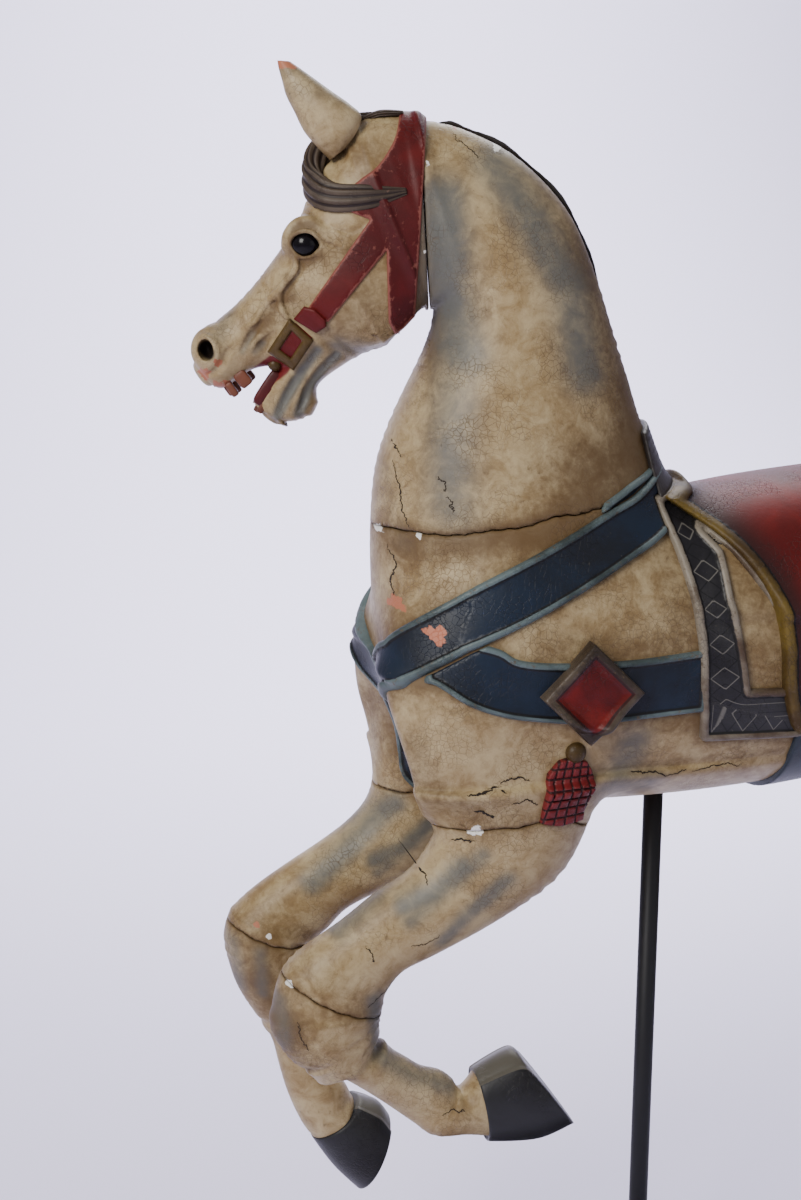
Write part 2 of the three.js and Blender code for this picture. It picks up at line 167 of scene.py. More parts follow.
def limb(ribs, side=0.0, power=2.0, slim=0.0, fillet=0.02, cap=0.008):
    """A form through its ribs: its middle line, the way across it, and for every place on the
    line how far the outline lies to the front and to the back, and the half width."""
    rows = catmull(ribs, 5)
    middle = (rows[:, 0:2] + rows[:, 2:4]) / 2
    rib = rows[:, 2:4] - rows[:, 0:2]
    ahead = np.gradient(middle, axis=0)
    ahead /= np.linalg.norm(ahead, axis=1, keepdims=True)
    across = np.stack([ahead[:, 1], -ahead[:, 0]], 1)
    across *= np.sign((across * rib).sum(1, keepdims=True))
    plain = np.abs((across * rib).sum(1)) / 2
    outline = np.vstack([rows[:, 0:2], rows[::-1, 2:4]])
    back, front = cast(middle, across, outline), cast(middle, -across, outline)
    back, front = (np.where((d > 1.6 * plain) | (d < 0.6 * plain), plain, d) for d in (back, front))
    reach = max(back.max(), front.max(), rows[:, 4].max())
    box = (middle[:, 0].min() - reach, side - rows[:, 4].max(), middle[:, 1].min() - reach,
           middle[:, 0].max() + reach, side + rows[:, 4].max(), middle[:, 1].max() + reach)
    table = np.column_stack([across, front, back, rows[:, 4]])
    return dict(kind="limb", line=middle, table=table, side=side, power=power, slim=slim,
                fillet=fillet, cap=cap, box=box)


def boss(centre, radii, fillet=0.02, hollow=False):
    """A rounded swelling or hollow: the same ellipsoid on each side of the horse."""
    (x, y, z), (a, b, c) = centre, radii
    wide = abs(y) + b
    return dict(kind="boss", centre=centre, radii=radii, fillet=fillet, hollow=hollow,
                box=(x - a, -wide, z - c, x + a, wide, z + c))


def cord(points, fillet=0.004, hollow=False):
    """A ridge or a groove along a curve in space, alike on both sides of the horse. Each point is
    x, y, z and the cord's radius there, with y its distance from the middle plane."""
    rows = catmull(points, 4)
    reach = rows[:, 3].max()
    low, high = rows[:, :3].min(0) - reach, rows[:, :3].max(0) + reach
    return dict(kind="cord", rows=rows, fillet=fillet, hollow=hollow,
                box=(low[0], -high[1], low[2], high[0], high[1], high[2]))


def limb_distance(form, x, y, z):
    """Distance to a limb: the nearest place on its middle line gives the section, whose oval
    value q is turned into metres by q's own slope. Past its ends the limb is closed by a cap."""
    k, t, away = nearest(form["line"], x, z)
    t = t[..., None]
    row = form["table"][k] * (1 - t) + form["table"][k + 1] * t
    u = (away * row[..., 0:2]).sum(-1)
    off = np.linalg.norm(away, axis=-1)
    past = (k + t[..., 0] <= 0) | (k + t[..., 0] >= len(form["line"]) - 1)
    w = np.where(past, np.sqrt(np.maximum(off * off - u * u, 0)), 0)
    u = np.where(past, u, np.sign(u) * off)
    half = row[..., 4]
    deep = np.where(u > 0, row[..., 3], row[..., 2])
    half = half * (1 - form["slim"] * np.clip(u / deep, -1, 1))
    p = form["power"]
    cap = form["cap"]
    u = np.abs(u)
    v = np.abs(y - form["side"])
    q = ((u / deep) ** p + (v / half) ** p + (w / cap) ** p) ** (1 / p) + 1e-9
    slope = q ** (1 - p) * np.sqrt((u ** (p - 1) / deep ** p) ** 2 + (v ** (p - 1) / half ** p) ** 2
                                   + (w ** (p - 1) / cap ** p) ** 2) + 1e-6
    return (q - 1) / np.maximum(slope, 0.6 / np.maximum(deep, half))


def boss_distance(form, x, y, z):
    """Distance to an ellipsoid, from its scaled radius q and the slope of q."""
    (cx, cy, cz), (a, b, c) = form["centre"], form["radii"]
    u, v, w = (x - cx) / a, (np.abs(y) - cy) / b, (z - cz) / c
    q = np.sqrt(u * u + v * v + w * w) + 1e-9
    return (q - 1) * q / np.sqrt((u / a) ** 2 + (v / b) ** 2 + (w / c) ** 2 + 1e-9)


def cord_distance(form, x, y, z):
    """Distance to a cord: to the nearest step of its curve, less the radius there."""
    here = np.stack([x, np.abs(y), z], -1)
    best = np.full(x.shape, 9.0)
    for a, b in zip(form["rows"][:-1], form["rows"][1:]):
        step = b[:3] - a[:3]
        gap = here - a[:3]
        t = np.clip(gap @ step / (step @ step), 0, 1)
        far = np.linalg.norm(gap - t[..., None] * step, axis=-1) - a[3] - t * (b[3] - a[3])
        best = np.minimum(best, far)
    return best


def soft_union(a, b, fillet):
    """The lower of two distances, with a round fillet where they are nearly equal."""
    h = np.clip(0.5 + 0.5 * (b - a) / fillet, 0, 1)
    return b * (1 - h) + a * h - fillet * h * (1 - h)


def carving(x, y, z, forms):
    """Distance to all the forms that come near the given points, joined with fillets, less the
    hollows that are cut out of them. Small forms are worked out only where they can matter."""
    low = np.array([np.min(x), np.min(y), np.min(z)]) - 0.03
    high = np.array([np.max(x), np.max(y), np.max(z)]) + 0.03
    value = np.full(np.broadcast(x, y, z).shape, 0.2)
    x_all, y_all, z_all = np.broadcast_arrays(x, y, z)
    for form in forms:
        box = np.array(form["box"])
        if (box[:3] > high).any() or (box[3:] < low).any():
            continue
        if form["kind"] == "limb":
            value = soft_union(value, limb_distance(form, x, y, z), form["fillet"])
            continue
        room = form["fillet"] + 0.02
        near = ((x > box[0] - room) & (x < box[3] + room) & (y > box[1] - room)
                & (y < box[4] + room) & (z > box[2] - room) & (z < box[5] + room))
        measure = boss_distance if form["kind"] == "boss" else cord_distance
        far = measure(form, x_all[near], y_all[near], z_all[near])
        here = value[near]
        value[near] = (-soft_union(-here, far, form["fillet"]) if form["hollow"]
                       else soft_union(here, far, form["fillet"]))
    return value


trunk_ribs = [
    (-0.306, 0.900, -0.302, 0.775, 0.050), (-0.298, 0.915, -0.292, 0.745, 0.082),
    (-0.284, 0.932, -0.278, 0.714, 0.104), (-0.258, 0.954, -0.256, 0.688, 0.122),
    (-0.200, 0.970, -0.200, 0.668, 0.134), (-0.100, 0.980, -0.100, 0.659, 0.142),
    (0.000, 0.982, 0.000, 0.657, 0.144), (0.100, 0.995, 0.100, 0.661, 0.146),
    (0.200, 1.004, 0.200, 0.672, 0.148), (0.300, 1.010, 0.300, 0.692, 0.146),
    (0.380, 1.010, 0.380, 0.718, 0.142), (0.445, 0.995, 0.445, 0.755, 0.130),
    (0.492, 0.965, 0.492, 0.800, 0.106), (0.520, 0.930, 0.520, 0.845, 0.066),
]
forms = [limb(trunk_ribs, power=2.25, fillet=0.02),
         boss((-0.232, 0.068, 0.782), (0.100, 0.065, 0.137), 0.010)]

# The neck, slimmer at the crest than at the throat, and under it the hollow between the breasts,
# which runs down the front of the chest.
neck_ribs = [
    (-0.270, 0.720, 0.000, 0.720, 0.090), (-0.316, 0.800, 0.040, 0.800, 0.124),
    (-0.324, 0.885, 0.022, 0.890, 0.122), (-0.325, 0.962, 0.002, 0.980, 0.112),
    (-0.320, 1.022, -0.020, 1.033, 0.102), (-0.308, 1.064, -0.038, 1.080, 0.094),
    (-0.287, 1.111, -0.056, 1.130, 0.084), (-0.267, 1.153, -0.072, 1.172, 0.076),
    (-0.258, 1.187, -0.092, 1.228, 0.072), (-0.262, 1.190, -0.122, 1.290, 0.068),
    (-0.266, 1.190, -0.174, 1.342, 0.064), (-0.270, 1.190, -0.228, 1.369, 0.060),
    (-0.274, 1.189, -0.262, 1.377, 0.058), (-0.293, 1.166, -0.293, 1.382, 0.060),
]
chest_hollow = [
    (-0.520, 0.0, 0.870, 0.180), (-0.508, 0.0, 0.845, 0.180), (-0.500, 0.0, 0.820, 0.180),
    (-0.496, 0.0, 0.795, 0.180), (-0.492, 0.0, 0.770, 0.180), (-0.484, 0.0, 0.742, 0.180),
    (-0.472, 0.0, 0.715, 0.180), (-0.462, 0.0, 0.690, 0.180)]
forms += [limb(neck_ribs, slim=0.16, fillet=0.045), cord(chest_hollow, 0.010, hollow=True)]

# The legs, each of two blocks joined through the knee, or of one behind. The near foreleg is
# folded tighter than the far one. Both fold back on themselves, so each is two forms.
near_foreleg_ribs = [
    (-0.285, 0.780, -0.040, 0.780, 0.050), (-0.278, 0.715, -0.075, 0.730, 0.058),
    (-0.273, 0.663, -0.101, 0.673, 0.058), (-0.282, 0.640, -0.137, 0.599, 0.052),
    (-0.303, 0.612, -0.205, 0.553, 0.045), (-0.343, 0.588, -0.278, 0.518, 0.039),
    (-0.382, 0.560, -0.314, 0.503, 0.036), (-0.425, 0.533, -0.332, 0.482, 0.038),
    (-0.445, 0.512, -0.336, 0.472, 0.040), (-0.455, 0.477, -0.341, 0.449, 0.041),
    (-0.455, 0.451, -0.338, 0.428, 0.040), (-0.447, 0.433, -0.332, 0.417, 0.037),
    (-0.430, 0.410, -0.323, 0.406, 0.033), (-0.392, 0.393, -0.307, 0.394, 0.028),
    (-0.357, 0.366, -0.291, 0.382, 0.024), (-0.330, 0.343, -0.271, 0.375, 0.022),
    (-0.303, 0.319, -0.257, 0.363, 0.022), (-0.280, 0.300, -0.250, 0.350, 0.025),
    (-0.243, 0.296, -0.241, 0.353, 0.026), (-0.214, 0.290, -0.230, 0.368, 0.031),
]
far_foreleg_ribs = [
    (-0.300, 0.780, -0.090, 0.780, 0.050), (-0.305, 0.720, -0.130, 0.715, 0.058),
    (-0.309, 0.670, -0.175, 0.655, 0.057), (-0.317, 0.641, -0.220, 0.592, 0.050),
    (-0.341, 0.616, -0.259, 0.555, 0.043), (-0.376, 0.593, -0.307, 0.534, 0.038),
    (-0.409, 0.574, -0.344, 0.517, 0.036), (-0.444, 0.552, -0.366, 0.495, 0.036),
    (-0.471, 0.528, -0.388, 0.480, 0.038), (-0.481, 0.497, -0.394, 0.464, 0.040),
    (-0.476, 0.464, -0.392, 0.433, 0.038), (-0.466, 0.432, -0.392, 0.413, 0.034),
    (-0.446, 0.396, -0.384, 0.390, 0.028), (-0.431, 0.362, -0.376, 0.357, 0.024),
    (-0.424, 0.331, -0.368, 0.324, 0.024), (-0.414, 0.292, -0.346, 0.295, 0.028),
    (-0.399, 0.254, -0.337, 0.275, 0.030), (-0.386, 0.233, -0.327, 0.273, 0.032),
]
hindleg_ribs = [
    (0.258, 0.850, 0.525, 0.900, 0.062), (0.262, 0.780, 0.522, 0.850, 0.074),
    (0.272, 0.715, 0.508, 0.790, 0.072), (0.292, 0.660, 0.490, 0.735, 0.064),
    (0.330, 0.618, 0.484, 0.688, 0.053), (0.378, 0.582, 0.490, 0.652, 0.044),
    (0.428, 0.548, 0.515, 0.620, 0.037), (0.475, 0.520, 0.552, 0.590, 0.033),
    (0.505, 0.500, 0.582, 0.562, 0.032), (0.530, 0.474, 0.602, 0.522, 0.031),
    (0.554, 0.444, 0.610, 0.478, 0.026), (0.582, 0.402, 0.632, 0.428, 0.022),
    (0.606, 0.362, 0.653, 0.386, 0.022), (0.622, 0.330, 0.678, 0.360, 0.027),
    (0.642, 0.306, 0.696, 0.342, 0.027), (0.658, 0.286, 0.712, 0.332, 0.032),
]
leg_spread, hip_spread = 0.07, 0.076
forms += [limb(near_foreleg_ribs[:13], side=-leg_spread, fillet=0.02),
          limb(near_foreleg_ribs[9:], side=-leg_spread, fillet=0.010),
          limb(far_foreleg_ribs[:13], side=leg_spread, fillet=0.02),
          limb(far_foreleg_ribs[8:], side=leg_spread, fillet=0.010),
          limb(hindleg_ribs, side=-hip_spread, fillet=0.05),
          limb(hindleg_ribs, side=hip_spread, fillet=0.05)]

# The head, cut with an open mouth: skull and jaw, with the cheek, brow and nostril swelling from
# them. The lids, brow folds, two veins, mouth folds and flutes of the jaw are cut into these.
skull_ribs = [
    (-0.250, 1.372, -0.262, 1.200, 0.052), (-0.293, 1.384, -0.293, 1.168, 0.058),
    (-0.333, 1.378, -0.308, 1.153, 0.061), (-0.376, 1.325, -0.332, 1.146, 0.060),
    (-0.397, 1.278, -0.360, 1.138, 0.056), (-0.427, 1.235, -0.378, 1.128, 0.046),
    (-0.458, 1.199, -0.423, 1.132, 0.038), (-0.487, 1.174, -0.449, 1.127, 0.034),
    (-0.501, 1.153, -0.476, 1.109, 0.031), (-0.505, 1.138, -0.488, 1.112, 0.020),
]
jaw_ribs = [
    (-0.350, 1.190, -0.300, 1.165, 0.040), (-0.397, 1.160, -0.345, 1.137, 0.032),
    (-0.420, 1.131, -0.378, 1.112, 0.028), (-0.437, 1.110, -0.380, 1.086, 0.027),
    (-0.447, 1.093, -0.400, 1.075, 0.025), (-0.440, 1.083, -0.416, 1.074, 0.016),
]
forms += [limb(skull_ribs, power=2.5, fillet=0.012),
          limb(jaw_ribs, power=2.3, fillet=0.008, cap=0.004),
          boss((-0.330, 0.036, 1.210), (0.058, 0.027, 0.052), 0.014),
          boss((-0.384, 0.040, 1.260), (0.026, 0.019, 0.022), 0.010),
          boss((-0.486, 0.022, 1.150), (0.022, 0.017, 0.024), 0.010)]


def side_of(x, z):
    """Half width of the carving at places in the x-z plane: the outermost point to the near side,
    found by stepping inwards and then halving the last step."""
    x, z = np.atleast_1d(x).astype(float), np.atleast_1d(z).astype(float)
    outer = np.full(x.shape, 0.19)
    met = np.zeros(x.shape, bool)
    for y in np.arange(0.19, 0.0, -0.004):
        met |= carving(x, -y, z, forms) < 0
        outer = np.where(met, outer, y)
    inner, step = outer - 0.004, outer.copy()
    for _ in range(8):
        middle = (inner + step) / 2
        wood = carving(x, -middle, z, forms) < 0
        inner, step = np.where(wood, middle, inner), np.where(wood, step, middle)
    return inner


def face_cord(points, sink=0.0, fillet=0.0025, hollow=False):
    """A cord that follows the surface: each point is x, z and radius, and it is set into the
    carving by `sink`."""
    x, z, radius = np.array(points).T
    return cord(np.column_stack([x, side_of(x, z) - sink, z, radius]), fillet, hollow)


face = [
    face_cord([(-0.409, 1.254, 0.003), (-0.405, 1.266, 0.005), (-0.396, 1.276, 0.006),
               (-0.384, 1.279, 0.006), (-0.372, 1.272, 0.005),
               (-0.364, 1.262, 0.003)], 0.003, 0.004),
    face_cord([(-0.396, 1.246, 0.003), (-0.3955, 1.239, 0.0040), (-0.397, 1.230, 0.0046),
               (-0.413, 1.212, 0.0046), (-0.429, 1.197, 0.0042), (-0.440, 1.179, 0.0032),
               (-0.453, 1.173, 0.001)], 0.0, 0.0015),
    face_cord([(-0.411, 1.214, 0.0032), (-0.413, 1.202, 0.0040), (-0.4095, 1.189, 0.0040),
               (-0.404, 1.182, 0.0018)], 0.0, 0.0015),
    face_cord([(-0.392, 1.240, 0.001), (-0.3925, 1.230, 0.002), (-0.407, 1.2115, 0.002),
               (-0.408, 1.200, 0.002), (-0.404, 1.189, 0.001)], -0.0003, 0.003, True),
    face_cord([(-0.432, 1.179, 0.001), (-0.444, 1.166, 0.0045),
               (-0.455, 1.150, 0.001)], 0.0, 0.003, True),
    face_cord([(-0.421, 1.169, 0.001), (-0.433, 1.157, 0.0045),
               (-0.441, 1.149, 0.001)], 0.0, 0.003, True),
    face_cord([(-0.427, 1.164, 0.001), (-0.431, 1.154, 0.0030),
               (-0.433, 1.146, 0.001)], 0.0, 0.002, True),
    face_cord([(-0.362, 1.275, 0.001), (-0.347, 1.269, 0.0018), (-0.334, 1.272, 0.0018),
               (-0.323, 1.281, 0.001)], 0.0, 0.002, True),
    face_cord([(-0.402, 1.282, 0.001), (-0.390, 1.288, 0.0018),
               (-0.378, 1.285, 0.001)], 0.0, 0.002, True),
    face_cord([(-0.398, 1.290, 0.001), (-0.386, 1.296, 0.0015),
               (-0.376, 1.293, 0.001)], 0.0, 0.002, True),
    face_cord([(-0.372, 1.262, 0.001), (-0.362, 1.256, 0.0018),
               (-0.352, 1.254, 0.001)], 0.0, 0.002, True),
    boss((-0.387, 0.060, 1.2575), (0.0160, 0.018, 0.0135), 0.002, hollow=True),
    cord([(-0.403, 0.050, 1.257, 0.0020), (-0.398, 0.057, 1.2665, 0.0024),
          (-0.387, 0.060, 1.2705, 0.0026), (-0.377, 0.060, 1.2670, 0.0024),
          (-0.370, 0.056, 1.256, 0.0018)], 0.0015),
    cord([(-0.403, 0.050, 1.257, 0.0018), (-0.396, 0.055, 1.2470, 0.0018),
          (-0.387, 0.057, 1.2440, 0.0018), (-0.378, 0.058, 1.2470, 0.0018),
          (-0.370, 0.056, 1.256, 0.0018)], 0.0015),
    cord([(-0.500, 0.026, 1.156, 0.003), (-0.492, 0.034, 1.1645, 0.0035),
          (-0.482, 0.038, 1.158, 0.0035), (-0.480, 0.038, 1.147, 0.003),
          (-0.487, 0.035, 1.139, 0.002)], 0.004),
    boss((-0.4910, 0.036, 1.1510), (0.0080, 0.020, 0.0110), 0.0015, hollow=True),
    face_cord([(-0.378, 1.149, 0.002), (-0.396, 1.124, 0.0055), (-0.409, 1.103, 0.0055),
               (-0.418, 1.085, 0.003)], -0.001, 0.004, True),
    face_cord([(-0.358, 1.146, 0.002), (-0.374, 1.129, 0.0045), (-0.388, 1.108, 0.0045),
               (-0.397, 1.086, 0.002)], -0.001, 0.004, True),
    face_cord([(-0.468, 1.150, 0.002), (-0.476, 1.135, 0.003),
               (-0.489, 1.125, 0.002)], 0.0, 0.005, True),
]
forms += face
head_turn = np.radians(-15)
neck_axis = -0.15


def turn_head(points):
    """Look aside: a turn about an upright axis in the neck that grows from mid neck to poll, so
    that angle = head_turn * s * s * (3 - 2 s), with s from nought to one. Then lift to the rod."""
    x, y, z = np.moveaxis(points, -1, 0)
    rise = np.clip((-0.75 * x + 0.66 * z - 0.74) / 0.22, 0, 1)
    angle = head_turn * rise ** 2 * (3 - 2 * rise)
    dx = x - neck_axis
    return np.stack([neck_axis + dx * np.cos(angle) - y * np.sin(angle),
                     dx * np.sin(angle) + y * np.cos(angle), z + lift], -1)

# The paint on the wood, two or three coats of old cream oil colour over gesso: mottled, darkened
# in the hollows by grime and painted shade, crazed into fine cracks, brushed with grey and chipped
# to primer or wood.


def chain(nodes, links):
    """Short ways to add nodes to a tree: a given output is linked, a fixed value is typed in."""
    def put(socket, value):
        if isinstance(value, bpy.types.NodeSocket):
            links.new(value, socket)
        elif isinstance(value, tuple) and len(value) == 3 and socket.type == "RGBA":
            socket.default_value = (*value, 1)
        else:
            socket.default_value = value

    def math(kind, a, b=0.0, clamp=False):
        node = nodes.new("ShaderNodeMath")
        node.operation, node.use_clamp = kind, clamp
        put(node.inputs[0], a)
        put(node.inputs[1], b)
        return node.outputs[0]

    def mix(fac, a, b):
        node = nodes.new("ShaderNodeMix")
        node.data_type = "RGBA"
        put(node.inputs[0], fac)
        put(node.inputs[6], a)
        put(node.inputs[7], b)
        return node.outputs[2]

    def ramp(value, low, high, to_low=0.0, to_high=1.0):
        node = nodes.new("ShaderNodeMapRange")
        node.interpolation_type = "SMOOTHSTEP"
        for socket, given in zip(node.inputs, (value, low, high, to_low, to_high)):
            put(socket, given)
        return node.outputs[0]

    def noise(vector, scale, detail=5.0, rough=0.55, warp=0.0):
        node = nodes.new("ShaderNodeTexNoise")
        put(node.inputs["Vector"], vector)
        for key, given in (("Scale", scale), ("Detail", detail), ("Roughness", rough),
                           ("Distortion", warp)):
            node.inputs[key].default_value = given
        return node.outputs["Fac"]

    def mark(key):
        node = nodes.new("ShaderNodeAttribute")
        node.attribute_name = key
        return node.outputs["Fac"]

    return put, math, mix, ramp, noise, mark


def weathering_group():
    """Masks of age in object space: broad mottling, fine speckle, a patchy net of crazing along
    the borders of small bent cells, and height = 0.35 speckle + 0.9 mottle - 0.5 crazing."""
    group = bpy.data.node_groups.new("weathering", "ShaderNodeTree")
    group.interface.new_socket("Place", in_out="OUTPUT", socket_type="NodeSocketVector")
    for key in ("Mottle", "Speckle", "Crazing", "Height"):
        group.interface.new_socket(key, in_out="OUTPUT", socket_type="NodeSocketFloat")
    nodes, links = group.nodes, group.links
    put, math, mix, ramp, noise, mark = chain(nodes, links)
    place = nodes.new("ShaderNodeTexCoord").outputs["Object"]
    out = nodes.new("NodeGroupOutput")
    mottle = noise(place, 11.0, 7.0, 0.62, 0.4)
    speckle = noise(place, 160.0, 4.0, 0.7)
    warp = nodes.new("ShaderNodeTexNoise")
    warp.inputs["Scale"].default_value = 40.0
    put(warp.inputs["Vector"], place)
    bent = nodes.new("ShaderNodeVectorMath")
    bent.operation = "MULTIPLY_ADD"
    for socket, given in zip(bent.inputs, (warp.outputs["Color"], (0.012,) * 3, place)):
        put(socket, given)
    cells = nodes.new("ShaderNodeTexVoronoi")
    cells.feature = "DISTANCE_TO_EDGE"
    cells.inputs["Scale"].default_value = 170.0
    put(cells.inputs["Vector"], bent.outputs[0])
    net = ramp(cells.outputs["Distance"], 0.0, 0.075, 1.0, 0.0)
    patchy = ramp(noise(place, 16.0, 3.0), 0.42, 0.62)
    crazing = math("MULTIPLY", net, patchy)
    height = math("SUBTRACT", math("ADD", math("MULTIPLY", speckle, 0.35),
                                   math("MULTIPLY", mottle, 0.9)), math("MULTIPLY", crazing, 0.5))
    for key, value in (("Place", place), ("Mottle", mottle), ("Speckle", speckle),
                       ("Crazing", crazing), ("Height", height)):
        put(out.inputs[key], value)
    return group


weathering = weathering_group()


def aged(name, roughness, bump=0.0005):
    """A painted material with the weathering masks and a bump made of them."""
    material, nodes, links, shader = new_material(name, (0.5, 0.5, 0.5), roughness)
    group = nodes.new("ShaderNodeGroup")
    group.node_tree = weathering
    relief = nodes.new("ShaderNodeBump")
    relief.inputs["Strength"].default_value = 1.0
    relief.inputs["Distance"].default_value = bump
    links.new(group.outputs["Height"], relief.inputs["Height"])
    links.new(relief.outputs[0], shader.inputs["Normal"])
    shader.inputs["Specular IOR Level"].default_value = 0.26
    return material, chain(nodes, links), group.outputs, shader


def lost_paint(key, speckle, put_math, put_ramp, put_mark):
    """Mask of paint lost round a marked spot, with an edge made ragged by the speckle."""
    grit = put_math("MULTIPLY", put_math("SUBTRACT", speckle, 0.5), 0.8)
    return put_ramp(put_math("ADD", put_mark(key), grit), 0.45, 0.6)


def cream_material():
    """Old cream paint: two creams mottled together, then one colour after another laid over them
    by its own mask: grime with painted shade, grey shading with painted shade in some grooves,
    crazing, specks, gums, bare wood, white primer, and black as painted shadow in the nostril and
    eye socket."""
    material, (put, math, mix, ramp, noise, mark), age, shader = aged("old_cream_paint", 0.42)
    light_cream, brown_cream = (0.44, 0.345, 0.190), (0.25, 0.165, 0.070)
    grime_and_shade_brown, brushed_grey_and_shade = (0.085, 0.044, 0.015), (0.10, 0.11, 0.105)
    craze_brown, speck_brown = (0.09, 0.055, 0.028), (0.11, 0.07, 0.035)
    gum_red, bare_wood = (0.13, 0.012, 0.012), (0.40, 0.145, 0.075)
    primer, black = (0.78, 0.76, 0.70), (0.012, 0.008, 0.006)
    fine = noise(age["Place"], 48.0, 8.0, 0.7, 0.6)
    tone = math("ADD", math("MULTIPLY", age["Mottle"], 0.5), math("MULTIPLY", fine, 0.5))
    uneven = math("SUBTRACT", tone, 0.5)
    grit = math("MULTIPLY", math("SUBTRACT", age["Speckle"], 0.5), 1.1)
    colour = mix(ramp(tone, 0.36, 0.64), light_cream, brown_cream)
    # Brown where the mark is high: grime, and painted shade in hollows and creases.
    grime_and_shade_mix = math("ADD", math("MULTIPLY", mark("stain"), 0.85), math("MULTIPLY", uneven, 1.6))
    grime_and_shade_mix = ramp(math("ADD", grime_and_shade_mix, grit), -0.1, 1.35, 0.0, 0.80)
    colour = mix(grime_and_shade_mix, colour, grime_and_shade_brown)
    shade = math("ADD", math("MULTIPLY", mark("shade"), 0.9), math("MULTIPLY", uneven, 1.2))
    # Grey where the mark 'shade' is high: grey brushed on, and painted shade in the vein grooves
    # and mouth folds.
    colour = mix(ramp(shade, 0.05, 1.15, 0.0, 0.85), colour, brushed_grey_and_shade)
    colour = mix(math("MULTIPLY", age["Crazing"], 0.42), colour, craze_brown)
    colour = mix(ramp(age["Speckle"], 0.60, 0.74, 0.0, 0.5), colour, speck_brown)
    colour = mix(ramp(mark("gum"), 0.4, 0.6), colour, gum_red)
    colour = mix(lost_paint("bare", age["Speckle"], math, ramp, mark), colour, bare_wood)
    colour = mix(lost_paint("chip", age["Speckle"], math, ramp, mark), colour, primer)
    # Near black where the mark 'dark' is: painted shadow in the nostril and round the eye in its
    # socket.
    colour = mix(ramp(mark("dark"), 0.3, 0.9), colour, black)
    put(shader.inputs["Base Color"], colour)
    put(shader.inputs["Roughness"], ramp(grime_and_shade_mix, 0.0, 1.0, 0.42, 0.58))
    return material


cream = cream_material()

# Where the blocks part: the glue has let go across the base of the neck, at the tops of the legs
# and through the knees, and the blocks stand slightly apart there.
wide_gap, thin_gap = 0.0007, 0.0006      # from the middle of a joint to the wood


def bridle_joint(x, z):
    """Distance behind the glued joint where the head block meets the neck."""
    return 0.998 * (x + 0.268) + 0.062 * (z - 1.285)


def neck_joint(x, y, z):
    """Height above the open joint across the base of the neck, which wanders with the grain."""
    wave = 0.0022 * np.sin(38 * x + 1.0) + 0.0013 * np.sin(105 * x + 60 * y)
    return z - 0.967 - 0.13 * (x + 0.322) - wave - 0.0006 * np.sin(430 * x + 90 * y)


def foreleg_joint(x, z):
    """Height above the joint at the top of a foreleg, which drops towards the elbow."""
    t = np.clip((x + 0.17) / 0.08, 0, 1)
    return z - 0.668 - 0.10 * (x + 0.24) + 0.034 * t * t * (3 - 2 * t) - 0.001 * np.sin(160 * x)


def hindleg_joint(x, z):
    """Height above the sloping joint at the top of a hind leg."""
    return z - 0.682 - 0.25 * (x - 0.30)


def near_knee_joint(x, z):
    """Height above the joint through the near knee, which sags in the middle."""
    t = (x + 0.445) / 0.106
    return (z - 0.512 + 0.054 * t + 0.006 * np.sin(np.pi * np.clip(t, 0, 1))
            + 0.0006 * np.sin(300 * x))


def far_knee_joint(x, z):
    """Height above the joint through the far knee, which sags a little."""
    t = (x + 0.475) / 0.074
    return (z - 0.515 + 0.030 * t + 0.003 * np.sin(np.pi * np.clip(t, 0, 1))
            + 0.0006 * np.sin(300 * x))

# The harness and saddle cloth are carved in relief on the blocks, and beside them the wood is
# darkened with grime and painted shade, so their outlines come before the blocks. The breast strap
# goes round the breast on the line of its middle, and a strap hangs from it between the two
# breasts.


def inside_outline(outline, x, z):
    """Signed distance to a closed outline in the x-z plane, negative inside it."""
    line = np.vstack([outline, outline[:1]])
    _, _, away = nearest(line, x, z)
    x, z = np.broadcast_arrays(x, z)
    odd = np.zeros(x.shape, bool)
    for (ax, az), (bx, bz) in zip(line[:-1], line[1:]):
        if az == bz:
            continue
        span = (az > z) != (bz > z)
        odd ^= span & (x < ax + (z - az) * (bx - ax) / (bz - az))
    return np.where(odd, -1, 1) * np.linalg.norm(away, axis=-1)


def strap(upper, lower):
    """Outline of a strap between two smooth edges in the x-z plane."""
    return np.vstack([catmull(upper, 4), catmull(lower, 4)[::-1]])


shoulder_outline = strap(
    [(-0.300, 0.868), (-0.260, 0.872), (-0.230, 0.865), (-0.211, 0.854), (-0.170, 0.849),
     (-0.087, 0.847), (-0.010, 0.852)],
    [(-0.300, 0.829), (-0.291, 0.828), (-0.261, 0.808), (-0.221, 0.794), (-0.169, 0.786),
     (-0.114, 0.782), (-0.010, 0.786)])
blanket_outline = np.array([
    (-0.041, 0.999), (-0.031, 0.953), (-0.024, 0.903), (-0.019, 0.855), (-0.017, 0.809),
    (-0.012, 0.757), (-0.007, 0.751), (0.095, 0.746), (0.200, 0.750), (0.362, 0.770),
    (0.368, 0.850), (0.372, 0.950), (0.376, 1.060), (0.012, 1.060), (0.006, 1.010)])
breast_band = cord([
    (-0.004, 0.060, 1.010, 0.0245), (-0.056, 0.092, 0.981, 0.0265), (-0.107, 0.107, 0.962, 0.0280),
    (-0.214, 0.122, 0.9125, 0.0280), (-0.268, 0.117, 0.8835, 0.0255),
    (-0.3145, 0.0915, 0.850, 0.0255),
    (-0.325, 0.050, 0.824, 0.0255), (-0.318, 0.020, 0.805, 0.0255), (-0.315, 0.0, 0.797, 0.0255)])
breast_band["rows"][:22, 1] = side_of(breast_band["rows"][:22, 0], breast_band["rows"][:22, 2])
martingale = cord([
    (-0.315, 0.0, 0.797, 0.024), (-0.312, 0.0, 0.770, 0.0235), (-0.304, 0.0, 0.742, 0.023),
    (-0.290, 0.0, 0.715, 0.023), (-0.275, 0.0, 0.690, 0.023), (-0.225, 0.0, 0.668, 0.023)])


